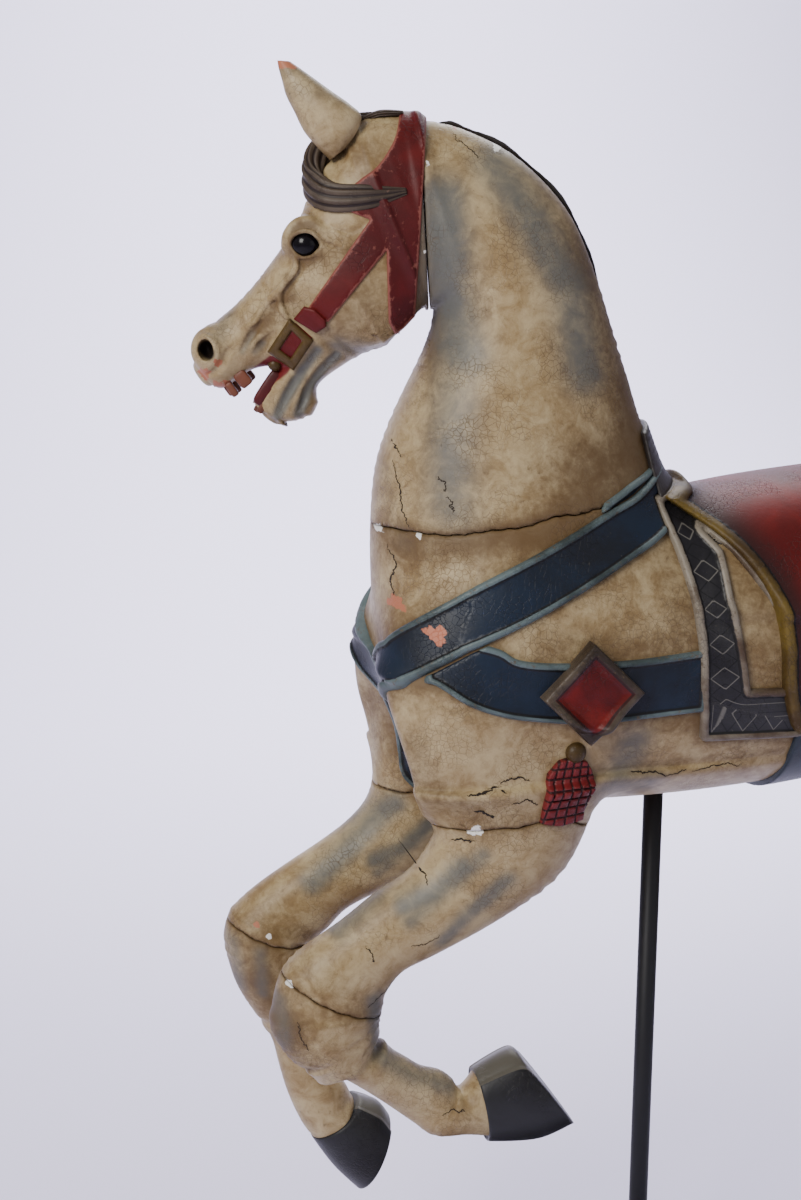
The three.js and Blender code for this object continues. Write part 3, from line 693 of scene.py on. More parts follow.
def band_edge(x, y, z):
    """Signed distance to the rim of the breast strap and of the strap that hangs from its middle:
    tubes about a curve that lies on the breast, negative inside."""
    x, y, z = np.broadcast_arrays(x, y, z)
    return np.minimum(cord_distance(breast_band, x, y, z), cord_distance(martingale, x, y, z))

# Each block of the carving as one closed skin: the forms inside its joints, with marks for grime
# and painted shade in hollows and creases, for grey brushed on and painted shade in some grooves,
# and for where paint is lost or chipped to the primer.


# Strokes of grime and painted shade, each a line, a width and a strength.
grime_and_shade_strokes = [
    ([(-0.262, 1.30), (-0.268, 1.20)], 0.020, 0.8),
    ([(-0.255, 1.24), (-0.258, 1.16)], 0.030, 0.9),
    ([(-0.300, 0.96), (-0.120, 0.985)], 0.022, 0.55),
    ([(-0.10, 1.02), (-0.045, 1.09)], 0.045, 0.6),
    ([(-0.325, 0.93), (-0.322, 0.83)], 0.040, 0.35),
    ([(-0.045, 0.93), (-0.035, 0.87)], 0.018, 0.4),
    ([(-0.18, 0.868), (-0.05, 0.862)], 0.016, 0.6), ([(-0.30, 0.71), (-0.318, 0.76)], 0.018, 0.5),
    ([(-0.23, 0.675), (-0.16, 0.675)], 0.025, 0.4), ([(-0.43, 0.53), (-0.34, 0.47)], 0.022, 0.5),
    ([(-0.445, 0.46), (-0.41, 0.43)], 0.035, 0.4), ([(-0.46, 0.46), (-0.45, 0.42)], 0.030, 0.5),
    ([(-0.235, 0.33), (-0.225, 0.35)], 0.020, 0.55), ([(-0.36, 0.25), (-0.35, 0.28)], 0.020, 0.5),
    ([(-0.335, 1.235), (-0.33, 1.20), (-0.36, 1.17)], 0.028, 1.0),
    ([(-0.30, 1.14), (-0.285, 1.16)], 0.014, 0.7),
    ([(-0.425, 1.175), (-0.438, 1.150)], 0.016, 0.8),
    # These two lie in the creases over and under the eye lids: painted shade in them.
    ([(-0.399, 1.262), (-0.393, 1.275), (-0.378, 1.277)], 0.007, 1.2),
    ([(-0.400, 1.250), (-0.388, 1.240), (-0.374, 1.246)], 0.006, 1.1),
    ([(-0.372, 1.265), (-0.36, 1.26)], 0.006, 0.3),
    # These two lie in the groove beside the raised vein: painted shade in it.
    ([(-0.405, 1.225), (-0.401, 1.205)], 0.006, 0.9),
    ([(-0.412, 1.205), (-0.436, 1.172)], 0.005, 0.9),
    ([(-0.10, 1.25), (-0.055, 1.12), (-0.04, 1.06)], 0.034, 1.1),
    ([(-0.17, 1.36), (-0.12, 1.30)], 0.022, 0.45),
    ([(-0.14, 1.035), (-0.05, 1.03), (-0.03, 1.05)], 0.045, 0.75),
    ([(-0.27, 1.06), (-0.20, 1.02), (-0.13, 1.04)], 0.030, 0.25),
    ([(-0.30, 0.955), (-0.20, 0.975), (-0.14, 0.995)], 0.018, 0.7),
    ([(-0.08, 0.915), (-0.05, 0.90)], 0.035, 0.2),
    ([(-0.31, 0.77), (-0.29, 0.72), (-0.25, 0.69)], 0.014, 0.5),
    ([(-0.20, 0.55), (-0.13, 0.60)], 0.02, 0.5), ([(-0.31, 0.40), (-0.27, 0.37)], 0.016, 0.35),
    ([(-0.455, 0.50), (-0.44, 0.43), (-0.42, 0.38)], 0.018, 0.55),
    ([(-0.350, 1.345), (-0.320, 1.350)], 0.020, 0.8),
    ([(-0.405, 1.205), (-0.400, 1.19)], 0.016, 0.5),
    ([(-0.388, 1.257), (-0.386, 1.250)], 0.020, 0.7),
    ([(-0.045, 0.78), (0.10, 0.735)], 0.020, 0.35), ([(0.28, 0.75), (0.45, 0.80)], 0.045, 0.35),
    ([(0.50, 0.50), (0.56, 0.53)], 0.040, 0.35), ([(-0.13, 1.32), (-0.06, 1.16)], 0.040, 0.35),
]
# Grey strokes: brushed-on grey shading, and painted shade in the vein grooves and mouth folds.
shade_strokes = [
    ([(-0.250, 1.30), (-0.244, 1.21), (-0.232, 1.15)], 0.030, 1.15),
    ([(-0.238, 1.15), (-0.247, 1.08), (-0.255, 1.00)], 0.030, 0.8),
    ([(-0.200, 1.335), (-0.160, 1.28), (-0.125, 1.21), (-0.116, 1.13)], 0.028, 1.0),
    ([(-0.318, 0.585), (-0.289, 0.598), (-0.258, 0.627)], 0.014, 1.1),
    ([(-0.280, 0.545), (-0.256, 0.573), (-0.214, 0.612)], 0.013, 1.0),
    ([(-0.388, 0.562), (-0.343, 0.599), (-0.295, 0.650)], 0.014, 1.1),
    ([(-0.315, 0.572), (-0.275, 0.605), (-0.240, 0.64)], 0.012, 0.9),
    ([(-0.083, 0.757), (-0.098, 0.700), (-0.06, 0.70)], 0.026, 0.8),
    ([(-0.352, 0.485), (-0.345, 0.417), (-0.307, 0.382), (-0.262, 0.362)], 0.013, 0.9),
    ([(-0.450, 0.49), (-0.447, 0.44)], 0.010, 0.7),
    ([(-0.478, 0.50), (-0.470, 0.44)], 0.010, 0.7),
    # These two lie in the grooves beside the veins: painted shade in them.
    ([(-0.377, 1.150), (-0.395, 1.126), (-0.409, 1.104), (-0.420, 1.082)], 0.007, 1.3),
    ([(-0.357, 1.146), (-0.373, 1.129), (-0.388, 1.108), (-0.398, 1.084)], 0.007, 1.3),
    ([(-0.355, 1.155), (-0.320, 1.148)], 0.014, 0.8),
    ([(-0.478, 1.165), (-0.470, 1.185)], 0.014, 0.6),
    # The next two strokes lie in the mouth folds: painted shade in them.
    ([(-0.443, 1.167), (-0.454, 1.149)], 0.005, 0.7),
    ([(-0.432, 1.158), (-0.441, 1.149)], 0.005, 0.7), ([(0.36, 0.62), (0.46, 0.60)], 0.018, 0.8),
    ([(0.40, 0.68), (0.47, 0.66)], 0.016, 0.7), ([(-0.262, 1.011), (-0.261, 1.010)], 0.014, 0.8),
    ([(-0.31, 1.03), (-0.30, 0.96)], 0.014, 0.35),
]
bare_spots = [
    ((-0.310, 0.899), 0.006), ((-0.494, 1.126), 0.006), ((-0.479, 1.111), 0.007),
    ((-0.470, 1.112), 0.006), ((-0.479, 1.138), 0.004), ((-0.452, 0.520), 0.003),
    ((-0.222, 1.386), 0.003), ((-0.238, 1.37), 0.002),
]
white_spots = [
    ((-0.247, 0.668), 0.006), ((-0.318, 0.9685), 0.0035), ((-0.285, 0.970), 0.003),
    ((-0.195, 1.352), 0.004), ((-0.44, 0.508), 0.003), ((-0.264, 1.335), 0.0025),
    ((-0.268, 1.250), 0.002),
]


def sample(array, place):
    """Value of a gridded array at fractional places, by three-way linear interpolation."""
    place = np.clip(place, 0, np.array(array.shape[:3]) - 1.001)
    i = place.astype(int)
    f = (place - i)[:, :, None]
    out = 0
    for a in (0, 1):
        for b in (0, 1):
            for c in (0, 1):
                w = ((f[:, 0] if a else 1 - f[:, 0]) * (f[:, 1] if b else 1 - f[:, 1])
                     * (f[:, 2] if c else 1 - f[:, 2]))
                out = out + w * array[i[:, 0] + a, i[:, 1] + b, i[:, 2] + c]
    return out


def skin(field, low, high, grain):
    """The closed surface where a field is nought: each grid cell that the surface crosses gets
    one point, at the mean of its crossings, and the points are joined round each crossed edge.
    They are then moved along the field's slope until they lie on the surface."""
    axes = [np.arange(a, b + grain, grain) for a, b in zip(low, high)]
    value = field(axes[0][:, None, None], axes[1][None, :, None], axes[2][None, None, :])
    inside = value < 0
    size = np.array(value.shape) - 1
    total = np.zeros((*size, 3))
    count = np.zeros(size)
    corner = [(a, b, c) for a in (0, 1) for b in (0, 1) for c in (0, 1)]

    def at(array, off):
        return array[off[0]:off[0] + size[0], off[1]:off[1] + size[1], off[2]:off[2] + size[2]]

    for one in corner:
        for axis in range(3):
            if one[axis]:
                continue
            two = tuple(1 if n == axis else one[n] for n in range(3))
            f1, f2 = at(value, one), at(value, two)
            cross = at(inside, one) != at(inside, two)
            t = np.where(cross, f1 / np.where(cross, f1 - f2, 1), 0)
            for n in range(3):
                total[..., n] += np.where(cross, one[n] + (t if n == axis else 0), 0)
            count += cross
    used = count > 0
    number = np.full(size, -1)
    number[used] = np.arange(used.sum())
    cell = np.argwhere(used)
    points = (cell + total[used] / count[used][:, None]) * grain + np.array([a[0] for a in axes])
    faces = []
    for axis in range(3):
        b, c = (axis + 1) % 3, (axis + 2) % 3
        first = np.moveaxis(inside, (axis, b, c), (0, 1, 2))
        ids = np.moveaxis(number, (axis, b, c), (0, 1, 2))
        inner = first[:-1, 1:-1, 1:-1]
        cross = inner != first[1:, 1:-1, 1:-1]
        quad = np.stack([ids[:, :-1, :-1], ids[:, 1:, :-1], ids[:, 1:, 1:], ids[:, :-1, 1:]], -1)
        quad = quad[cross]
        flip = ~inner[cross]
        quad[flip] = quad[flip][:, ::-1]
        faces.append(quad)
    slopes = np.gradient(value, grain)
    normal = sample(np.stack(slopes, -1), (points - [a[0] for a in axes]) / grain)
    normal /= np.linalg.norm(normal, axis=1, keepdims=True) + 1e-9
    for _ in range(2):
        miss = np.clip(field(*points.T), -grain, grain)
        points = points - miss[:, None] * normal
    return points, np.concatenate(faces), normal


def stroke(x, z, points, radius, strength=1.0):
    """A soft brush stroke along points in the x-z plane."""
    _, _, away = nearest(np.array(points, float), x, z)
    return strength * np.exp(-((away ** 2).sum(-1)) / radius ** 2)


def spots(x, z, places):
    """One within each ragged spot, falling to nought over its rim."""
    out = 0
    for (px, pz), size in places:
        turn = np.arctan2(z - pz, x - px)
        ragged = 1 + 0.22 * np.sin(3 * turn + 90 * px) + 0.16 * np.sin(7 * turn + 50 * pz)
        out = np.maximum(out, np.clip(1.6 - np.hypot(x - px, z - pz) / (size * ragged), 0, 1))
    return out


def mark(piece, key, values):
    """Store one number for every point of the piece under the given name."""
    layer = piece.data.attributes.new(key, "FLOAT", "POINT")
    full = np.broadcast_to(np.asarray(values, float), len(piece.data.vertices))
    layer.data.foreach_set("value", full.astype(np.float32))


def on_horse(piece):
    """The piece stands for part of the carving: the part's carved horse is hidden."""
    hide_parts("horse")
    return piece


def block(name, grain, low, high, cut, reach):
    """One block of the carving: the forms inside its joints, where `cut` is below nought, turned
    and lifted into place. Its grime and painted shade is 0.9 of how far the wood closes in the
    air at `reach` from it, which paints shade into the hollows, with some beside joints and
    harness that falls off exponentially, and the strokes."""
    points, faces, normal = skin(lambda x, y, z: np.maximum(carving(x, y, z, forms), cut(x, y, z)),
                                 low, high, grain)
    piece = on_horse(mesh_piece(name, turn_head(points), faces.tolist(), cream))
    x, y, z = points.T
    # Darker where the wood closes in round a point: painted shade in the hollows, with grime.
    open_air = carving(*(points + reach * normal).T, forms) / reach
    stain = 0.9 * np.clip(1.0 - open_air, 0, 1) + 0.55 * np.exp(-np.abs(cut(x, y, z)) / 0.007)
    # Darker beside the harness and the saddle cloth: grime, and painted shade along their raised
    # edges.
    if -0.36 < x.mean() < 0.3:
        for away in (band_edge(x, y, z), inside_outline(shoulder_outline, x, z),
                     inside_outline(blanket_outline, x, z)):
            stain += 0.8 * np.exp(-np.maximum(away, 0) / 0.013)
    for line, radius, strength in grime_and_shade_strokes:
        stain += stroke(x, z, line, radius, strength)
    shade = 0
    for line, radius, strength in shade_strokes:
        shade = np.maximum(shade, stroke(x, z, line, radius, strength))
    mark(piece, "stain", stain)
    mark(piece, "shade", shade)
    mark(piece, "bare", spots(x, z, bare_spots))
    mark(piece, "chip", spots(x, z, white_spots))
    return piece, points


head, at = block("head", 0.0022, (-0.52, -0.085, 1.055), (-0.25, 0.085, 1.40),
                 lambda x, y, z: bridle_joint(x, z) + wide_gap, 0.008)
x, y, z = at.T
mouth = stroke(x, z, [(-0.418, 1.135), (-0.455, 1.107)], 0.013, 1.3) * (np.abs(y) < 0.034)
# Near black in the nostril and round the glass eye in its socket: painted shadow in these hollows.
nostril = stroke(x, z, [(-0.492, 1.152), (-0.489, 1.148)], 0.0085, 1.4)
socket = stroke(x, z, [(-0.395, 1.2575), (-0.379, 1.2575)], 0.0075, 1.2) * (np.abs(y) > 0.03)
mark(head, "gum", mouth)
mark(head, "dark", nostril + socket)
block("neck", 0.0036, (-0.34, -0.14, 0.95), (0.06, 0.14, 1.41),
      lambda x, y, z: np.maximum(np.where(z > 1.17, wide_gap - bridle_joint(x, z), -1),
                                 wide_gap - neck_joint(x, y, z)), 0.03)
block("trunk", 0.004, (-0.36, -0.17, 0.62), (0.56, 0.17, 1.03),
      lambda x, y, z: np.maximum(
          np.maximum(neck_joint(x, y, z) + wide_gap,
                     np.where(x < 0.1, thin_gap - foreleg_joint(x, z), -1)),
          np.where(x > 0.2, thin_gap - hindleg_joint(x, z), -1)), 0.03)
for word, way, knee, lowest in (("near", 1, near_knee_joint, 0.26),
                                ("far", -1, far_knee_joint, 0.21)):
    low_y, high_y = sorted((0.0, -0.14 * way))
    block(word + "_forearm", 0.003, (-0.50, low_y, 0.44), (-0.06, high_y, 0.70),
          lambda x, y, z: np.maximum(np.maximum(foreleg_joint(x, z) + wide_gap, way * y + 0.001),
                                     thin_gap - knee(x, z)), 0.015)
    block(word + "_cannon", 0.0028, (-0.50, low_y, lowest), (-0.06, high_y, 0.53),
          lambda x, y, z: np.maximum(way * y + 0.001, knee(x, z) + thin_gap), 0.012)
    low_y, high_y = sorted((0.0, -0.165 * way))
    block(word + "_hindleg", 0.004, (0.25, low_y, 0.26), (0.73, high_y, 0.78),
          lambda x, y, z: np.maximum(hindleg_joint(x, z) + thin_gap, way * y + 0.001), 0.015)

# The harness: straps carved in relief, painted navy with a raised grey-blue cord along each edge.
# The breast strap lies over the shoulder strap, and both end under the rim of the saddle cloth.


def laid(name, material, grain, low, high, edge, rise, trim=None, marks=None):
    """Work carved in relief on the horse: everything up to `rise` above the wood where `edge`, the
    signed distance to its rim, is below nought, with the rim rounded off. `rise` is a number or is
    worked out from edge, x, y and z; `trim` cuts the piece off. Its back lies under the surface."""
    under, round_off, reach = 0.004, 0.003, 0.025

    def field(x, y, z):
        wood = carving(x, y, z, forms)
        near = np.abs(wood) < reach
        here = [v[near] for v in np.broadcast_arrays(x, y, z)]
        rim = edge(*here)
        height = rise(rim, *here) if callable(rise) else rise
        if trim:
            rim = np.maximum(rim, trim(*here))
        top = np.full(wood.shape, 0.05)
        top[near] = -soft_union(height - wood[near], -rim, round_off)
        return np.maximum(top, -wood - under)

    points, faces, _ = skin(field, low, high, grain)
    piece = mesh_piece(name, turn_head(points), faces.tolist(), material)
    mark(piece, "edge", -edge(*points.T))
    for key, values in (marks or {}).items():
        mark(piece, key, values(*points.T))
    return on_horse(piece)


def bead(distance, radius):
    """Height of a half-round bead at the given distance from its middle."""
    return np.sqrt(np.maximum(radius ** 2 - distance ** 2, 0))


def corded(thick, radius):
    """Rise of a flat strap or cloth with a half-round bead along its rim."""
    return lambda edge, x, y, z: thick + 0.8 * bead(edge + radius, radius)


def within(outline):
    """Signed distance to an outline in the x-z plane, on both sides of the horse."""
    return lambda x, y, z: inside_outline(outline, x, z)


def edged_paint(name, middle, dark, edging, edging_dark, width, roughness=0.42, fade=None,
                stitched=False):
    """A band with a painted edging: the mark 'edge' is the distance in from its rim, so the
    edging is `width` wide and a dark line runs beside it. `fade` darkens the band from there in,
    and a stitched band has a dark and a pale zigzag, half a turn apart."""
    material, (put, math, mix, ramp, noise, mark), age, shader = aged(name, roughness)
    black, dust, bare_wood = (0.012, 0.009, 0.008), (0.20, 0.17, 0.13), (0.46, 0.155, 0.085)
    dark_thread, pale_thread = (0.006, 0.006, 0.006), (0.16, 0.15, 0.13)
    speck_brown, line_black = (0.10, 0.07, 0.04), (0.008, 0.007, 0.006)
    craze_black = (0.01, 0.008, 0.006)
    edge = mark("edge")
    band = mix(ramp(age["Mottle"], 0.36, 0.66), middle, dark)
    if fade:
        rim = math("ADD", edge, math("MULTIPLY", math("SUBTRACT", age["Mottle"], 0.5), fade))
        band = mix(ramp(rim, width, width + fade, 0.85, 0.0), band, black)
    band = mix(ramp(age["Speckle"], 0.66, 0.78, 0.0, 0.35), band, dust)
    if stitched:
        for shift, thread in ((0.0, dark_thread), (0.5, pale_thread)):
            turns = math("FRACT", math("ADD", math("MULTIPLY", mark("along"), 28.0), shift))
            zigzag = math("MULTIPLY", math("ABSOLUTE", math("SUBTRACT", turns, 0.5)), 0.048)
            off = math("ABSOLUTE", math("SUBTRACT", math("SUBTRACT", edge, 0.011), zigzag))
            band = mix(ramp(off, 0.0004, 0.0014, 0.8, 0.0), band, thread)
    border = mix(ramp(age["Mottle"], 0.40, 0.62), edging, edging_dark)
    border = mix(ramp(age["Speckle"], 0.56, 0.68, 0.0, 0.7), border, speck_brown)
    colour = mix(ramp(edge, width - 0.0006, width + 0.0006), border, band)
    beside = math("ABSOLUTE", math("SUBTRACT", edge, width + 0.0012))
    line = math("SUBTRACT", 1.0, ramp(beside, 0.0006, 0.0018))
    colour = mix(math("MULTIPLY", line, 0.85), colour, line_black)
    colour = mix(math("MULTIPLY", age["Crazing"], 0.35), colour, craze_black)
    colour = mix(lost_paint("bare", age["Speckle"], math, ramp, mark), colour, bare_wood)
    put(shader.inputs["Base Color"], colour)
    return material


navy = edged_paint("navy_strap_paint", (0.010, 0.018, 0.034), (0.008, 0.010, 0.015),
                   (0.105, 0.140, 0.142), (0.035, 0.048, 0.048), 0.0060)
laid("breast_strap", navy, 0.0025, (-0.375, -0.165, 0.655), (-0.012, 0.165, 1.045), band_edge,
     corded(0.0045, 0.0034), lambda x, y, z: 0.001 - inside_outline(blanket_outline, x, z),
     marks={"bare": lambda x, y, z: spots(x, z, [((-0.285, 0.878), 0.008)]) * (y < 0)})
laid("shoulder_strap", navy, 0.0025, (-0.31, -0.165, 0.76), (-0.01, 0.165, 0.89),
     within(shoulder_outline), corded(0.003, 0.0034), lambda x, y, z: 0.002 - band_edge(x, y, z))
wither_outline = np.array([(-0.114, 0.990), (-0.108, 1.001), (-0.073, 1.016), (-0.022, 1.032),
                           (-0.010, 1.032), (-0.010, 0.990)])
laid("wither_strap", navy, 0.0025, (-0.13, -0.12, 0.98), (-0.005, 0.12, 1.06),
     within(wither_outline), corded(0.002, 0.004), lambda x, y, z: 0.001 - band_edge(x, y, z))

# A lozenge boss on each shoulder strap, cut proud of it, with a bevelled brown frame round a red
# field. Its corners point up, down and along the strap.
lozenge_paint = edged_paint("lozenge_paint", (0.17, 0.010, 0.007), (0.07, 0.004, 0.003),
                            (0.085, 0.064, 0.045), (0.03, 0.02, 0.013), 0.008, 0.38)
diamond_at, diamond_reach = (-0.138, 0.816), 0.054


def lozenge(x, y, z):
    """Signed distance to the rim of the lozenge: |dx| + |dz| less its reach, over root two."""
    return (np.abs(x - diamond_at[0]) + np.abs(z - diamond_at[1]) - diamond_reach) / np.sqrt(2)


laid("diamond", lozenge_paint, 0.002, (-0.200, -0.180, 0.755), (-0.080, 0.180, 0.878), lozenge,
     lambda edge, x, y, z: np.clip(0.016 + 0.5 * (edge + 0.009), 0.013, 0.0175))

# A tassel hangs below each lozenge, cut as a block of knotted cords: rows of knots parted by
# grooves painted near black, as grime and painted shade in them. The red paint has worn pink on
# the knots.


def plain_paint(name, light, dark, worn, roughness=0.42, wear=(0.60, 0.72), groove=False):
    """One coat of colour: two tones mottled together, grime in the crazing, and specks worn to a
    third colour where speckle and rub are high; a heel is paler and grooves are near black, as
    painted shade in them."""
    material, (put, math, mix, ramp, noise, mark), age, shader = aged(name, roughness)
    pale_heel, groove_shade_black = (0.085, 0.078, 0.062), (0.012, 0.006, 0.006)
    colour = mix(ramp(age["Mottle"], 0.35, 0.68), light, dark)
    colour = mix(math("MULTIPLY", age["Crazing"], 0.5), colour, tuple(0.3 * v for v in dark))
    rub = math("ADD", math("MULTIPLY", age["Speckle"], 0.6), math("MULTIPLY", mark("rub"), 0.5))
    rub = math("ADD", rub, math("MULTIPLY", age["Mottle"], 0.4))
    colour = mix(ramp(rub, *wear, 0.0, 0.8), colour, worn)
    colour = mix(ramp(mark("heel"), 0.4, 0.6), colour, pale_heel)
    if groove:
        colour = mix(ramp(mark("groove"), 0.0006, 0.0016, 0.85, 0.0), colour, groove_shade_black)
    put(shader.inputs["Base Color"], colour)
    return material


tassel_red = plain_paint("tassel_red_paint", (0.20, 0.022, 0.022), (0.10, 0.009, 0.010),
                         (0.32, 0.13, 0.11),
                         groove=True)
tassel_outline = np.array([(-0.165, 0.743), (-0.150, 0.747), (-0.134, 0.739), (-0.125, 0.722),
                           (-0.132, 0.671), (-0.158, 0.669), (-0.183, 0.676), (-0.177, 0.729)])


def tassel_lines(x, z):
    """Distance to the nearest groove of the tassel: seven rows of knots, four strands wide, that
    spread a little on their way down."""
    top, drop, rows, strands = 0.745, 0.075, 7.0, 4.0
    down = (top - z) / drop
    row = np.abs((rows * down + 0.5) % 1 - 0.5) / rows * drop
    left, right = -0.165 - 0.018 * down, -0.134 + 0.003 * down
    place = (x - left) / (right - left)
    column = np.abs((strands * place + 0.5) % 1 - 0.5) / strands * (right - left)
    return np.minimum(row, np.abs(column))


for name, grain, low, high in (("tassel", 0.0015, -0.160, -0.09),
                               ("far_tassel", 0.002, 0.09, 0.160)):
    laid(name, tassel_red, grain, (-0.190, low, 0.660), (-0.118, high, 0.752),
         within(tassel_outline),
         lambda edge, x, y, z: 0.008 - 0.0025 * np.exp(-(tassel_lines(x, z) / 0.0012) ** 2),
         marks={"groove": lambda x, y, z: tassel_lines(x, z)})

# The end of the mane on the withers, a dark wedge in front of the saddle.
mane_paint = plain_paint("dark_mane_paint", (0.040, 0.034, 0.032), (0.018, 0.014, 0.012),
                         (0.15, 0.12, 0.09))
wedge_outline = np.array([(-0.046, 1.062), (-0.024, 1.075), (0.006, 1.010), (-0.034, 0.996)])
laid("mane_end", mane_paint, 0.0025, (-0.06, -0.10, 0.98), (0.02, 0.10, 1.09),
     within(wedge_outline), 0.007)

# The saddle cloth, a broad charcoal band with a raised cord along its rim and a line of stitches
# down its middle. It goes round a panel at the shoulder that is left open to the body.
blanket_paint = edged_paint("charcoal_blanket_paint", (0.013, 0.012, 0.014), (0.030, 0.029, 0.030),
                            (0.22, 0.19, 0.145), (0.07, 0.045, 0.028), 0.0085, 0.4, stitched=True)
panel_outline = np.array([
    (0.008, 0.966), (0.021, 0.948), (0.021, 0.903), (0.031, 0.853), (0.039, 0.807),
    (0.090, 0.805), (0.083, 0.850), (0.060, 0.900), (0.030, 0.945)])


def blanket_rim(x, y, z):
    """Signed distance to the rim of the cloth, or to that of its open panel."""
    return -np.minimum(-inside_outline(blanket_outline, x, z), inside_outline(panel_outline, x, z))


laid("blanket", blanket_paint, 0.0028, (-0.06, -0.165, 0.73), (0.39, 0.165, 1.05), blanket_rim,
     lambda edge, x, y, z: 0.003 + 0.9 * bead(edge + 0.0045, 0.0045),
     marks={"along": lambda x, y, z: np.where(z > 0.80 - 0.3 * (x + 0.02), z, -x)})

# The saddle, red and shaded black towards its olive-gold edge, and its high red cantle behind.
red = edged_paint("red_saddle_paint", (0.17, 0.007, 0.004), (0.085, 0.004, 0.003),
                  (0.13, 0.085, 0.016), (0.05, 0.028, 0.008), 0.012, 0.5, fade=0.045)
saddle_outline = np.vstack([catmull([
    (-0.030, 0.998), (0.014, 0.967), (0.045, 0.931), (0.066, 0.886), (0.073, 0.845), (0.076, 0.805),
    (0.088, 0.768), (0.106, 0.750), (0.165, 0.738), (0.228, 0.748), (0.256, 0.791), (0.268, 0.846),
    (0.286, 0.897), (0.312, 0.945), (0.348, 0.985)], 3), [(0.362, 1.060), (0.012, 1.060),
    (0.006, 1.008)]])
laid("saddle", red, 0.0028, (-0.04, -0.18, 0.72), (0.38, 0.18, 1.05), within(saddle_outline),
     corded(0.010, 0.006))
cantle_ribs = [
    (0.190, 1.018, 0.190, 0.940, 0.050), (0.240, 1.034, 0.240, 0.940, 0.074),
    (0.292, 1.056, 0.292, 0.940, 0.092), (0.335, 1.082, 0.335, 0.940, 0.100),
    (0.358, 1.088, 0.362, 0.940, 0.100), (0.374, 1.066, 0.380, 0.940, 0.092),
    (0.382, 1.030, 0.388, 0.940, 0.080)]


def ribbed(name, ribs, side, material, around=48, per=8, power=2.0, shape=None):
    """A form through ribs as a grid of rings, each an oval |u|^power + |v|^power = 1. `shape`
    scales the rings by the place along the form, from nought to one, and the angle."""
    rows = catmull(ribs, per)
    angle = 2 * np.pi * np.arange(around) / around
    c, s = (np.sign(v) * np.abs(v) ** (2 / power) for v in (np.cos(angle), np.sin(angle)))
    t = np.linspace(0, 1, len(rows))[:, None]
    scale = shape(t, angle[None]) if shape else 1.0
    middle = (rows[:, 0:2] + rows[:, 2:4]) / 2
    half = (rows[:, 2:4] - rows[:, 0:2]) / 2
    points = np.stack([middle[:, 0:1] - half[:, 0:1] * c * scale,
                       side + rows[:, 4:5] * s * scale,
                       middle[:, 1:2] - half[:, 1:2] * c * scale], -1)
    return on_horse(surface_piece(name, turn_head(points), material))


cantle = ribbed("cantle", cantle_ribs, 0.0, red, power=2.2)
mark(cantle, "edge", np.full(len(cantle.data.vertices), 0.06))

# The girth under the belly and the straps of the rump: a breeching on each side and a crupper
# that runs from the saddle to the tail.
slate = plain_paint("slate_girth_paint", (0.032, 0.045, 0.060), (0.018, 0.022, 0.030),
                    (0.15, 0.15, 0.15))
laid("girth", slate, 0.003, (0.09, -0.16, 0.64), (0.185, 0.16, 0.765),
     lambda x, y, z: np.abs(x - 0.1375) - 0.0375, 0.006, lambda x, y, z: z - 0.755)
rump_outline = strap([(0.330, 0.895), (0.400, 0.907), (0.460, 0.915), (0.545, 0.923)],
                     [(0.330, 0.849), (0.400, 0.861), (0.460, 0.869), (0.545, 0.877)])
laid("breeching", navy, 0.003, (0.37, -0.15, 0.84), (0.53, 0.15, 0.93), within(rump_outline),
     corded(0.005, 0.004), lambda x, y, z: 0.374 - x)
laid("crupper", navy, 0.003, (0.36, -0.03, 0.90), (0.53, 0.03, 1.04),
     lambda x, y, z: np.abs(y) - 0.017, 0.006, lambda x, y, z: 0.37 - x)

# The bridle, dark red with rubbed pale edges: one carved piece over the poll and down the cheek,
# with a keeper where it meets the strap end, and an olive-gold buckle over that.
dark_red = plain_paint("dark_red_strap_paint", (0.105, 0.005, 0.004), (0.055, 0.003, 0.003),
                       (0.24, 0.075, 0.055), 0.5)
crown_outline = np.vstack([catmull([
    (-0.293, 1.400), (-0.294, 1.376), (-0.299, 1.356), (-0.314, 1.333), (-0.330, 1.321),
    (-0.341, 1.312)], 3), [(-0.341, 1.288), (-0.322, 1.281), (-0.388, 1.190), (-0.365, 1.180),
    (-0.306, 1.251), (-0.304, 1.180), (-0.297, 1.166), (-0.277, 1.185), (-0.2645, 1.400)]])
laid("bridle", dark_red, 0.002, (-0.40, -0.08, 1.15), (-0.255, 0.08, 1.40), within(crown_outline),
     0.0035, lambda x, y, z: z - 1.3875,
     marks={"rub": lambda x, y, z: np.exp(-np.maximum(-inside_outline(crown_outline, x, z), 0)
                                          / 0.0016)})
keeper_outline = np.array([(-0.389, 1.196), (-0.378, 1.1935), (-0.367, 1.183), (-0.3665, 1.176),
                           (-0.377, 1.169), (-0.400, 1.183)])
laid("bridle_keeper", dark_red, 0.0015, (-0.41, -0.07, 1.155), (-0.36, 0.07, 1.205),
     within(keeper_outline), 0.0075)
tongue_outline = np.array([(-0.399, 1.180), (-0.381, 1.164), (-0.404, 1.133), (-0.424, 1.148)])
laid("bridle_end", dark_red, 0.002, (-0.43, -0.07, 1.12), (-0.37, 0.07, 1.20),
     within(tongue_outline), 0.003)
olive = plain_paint("olive_gold_paint", (0.085, 0.05, 0.013), (0.035, 0.020, 0.007),
                    (0.22, 0.155, 0.07))
buckle_outline = np.array([(-0.404, 1.184), (-0.380, 1.161), (-0.402, 1.129), (-0.428, 1.149)])
buckle_hole = np.array([(-0.402, 1.171), (-0.392, 1.161), (-0.404, 1.143), (-0.415, 1.152)])


def buckle_frame(x, y, z):
    """Signed distance to the buckle: inside its outline and outside its hole."""
    return np.maximum(inside_outline(buckle_outline, x, z), -inside_outline(buckle_hole, x, z))


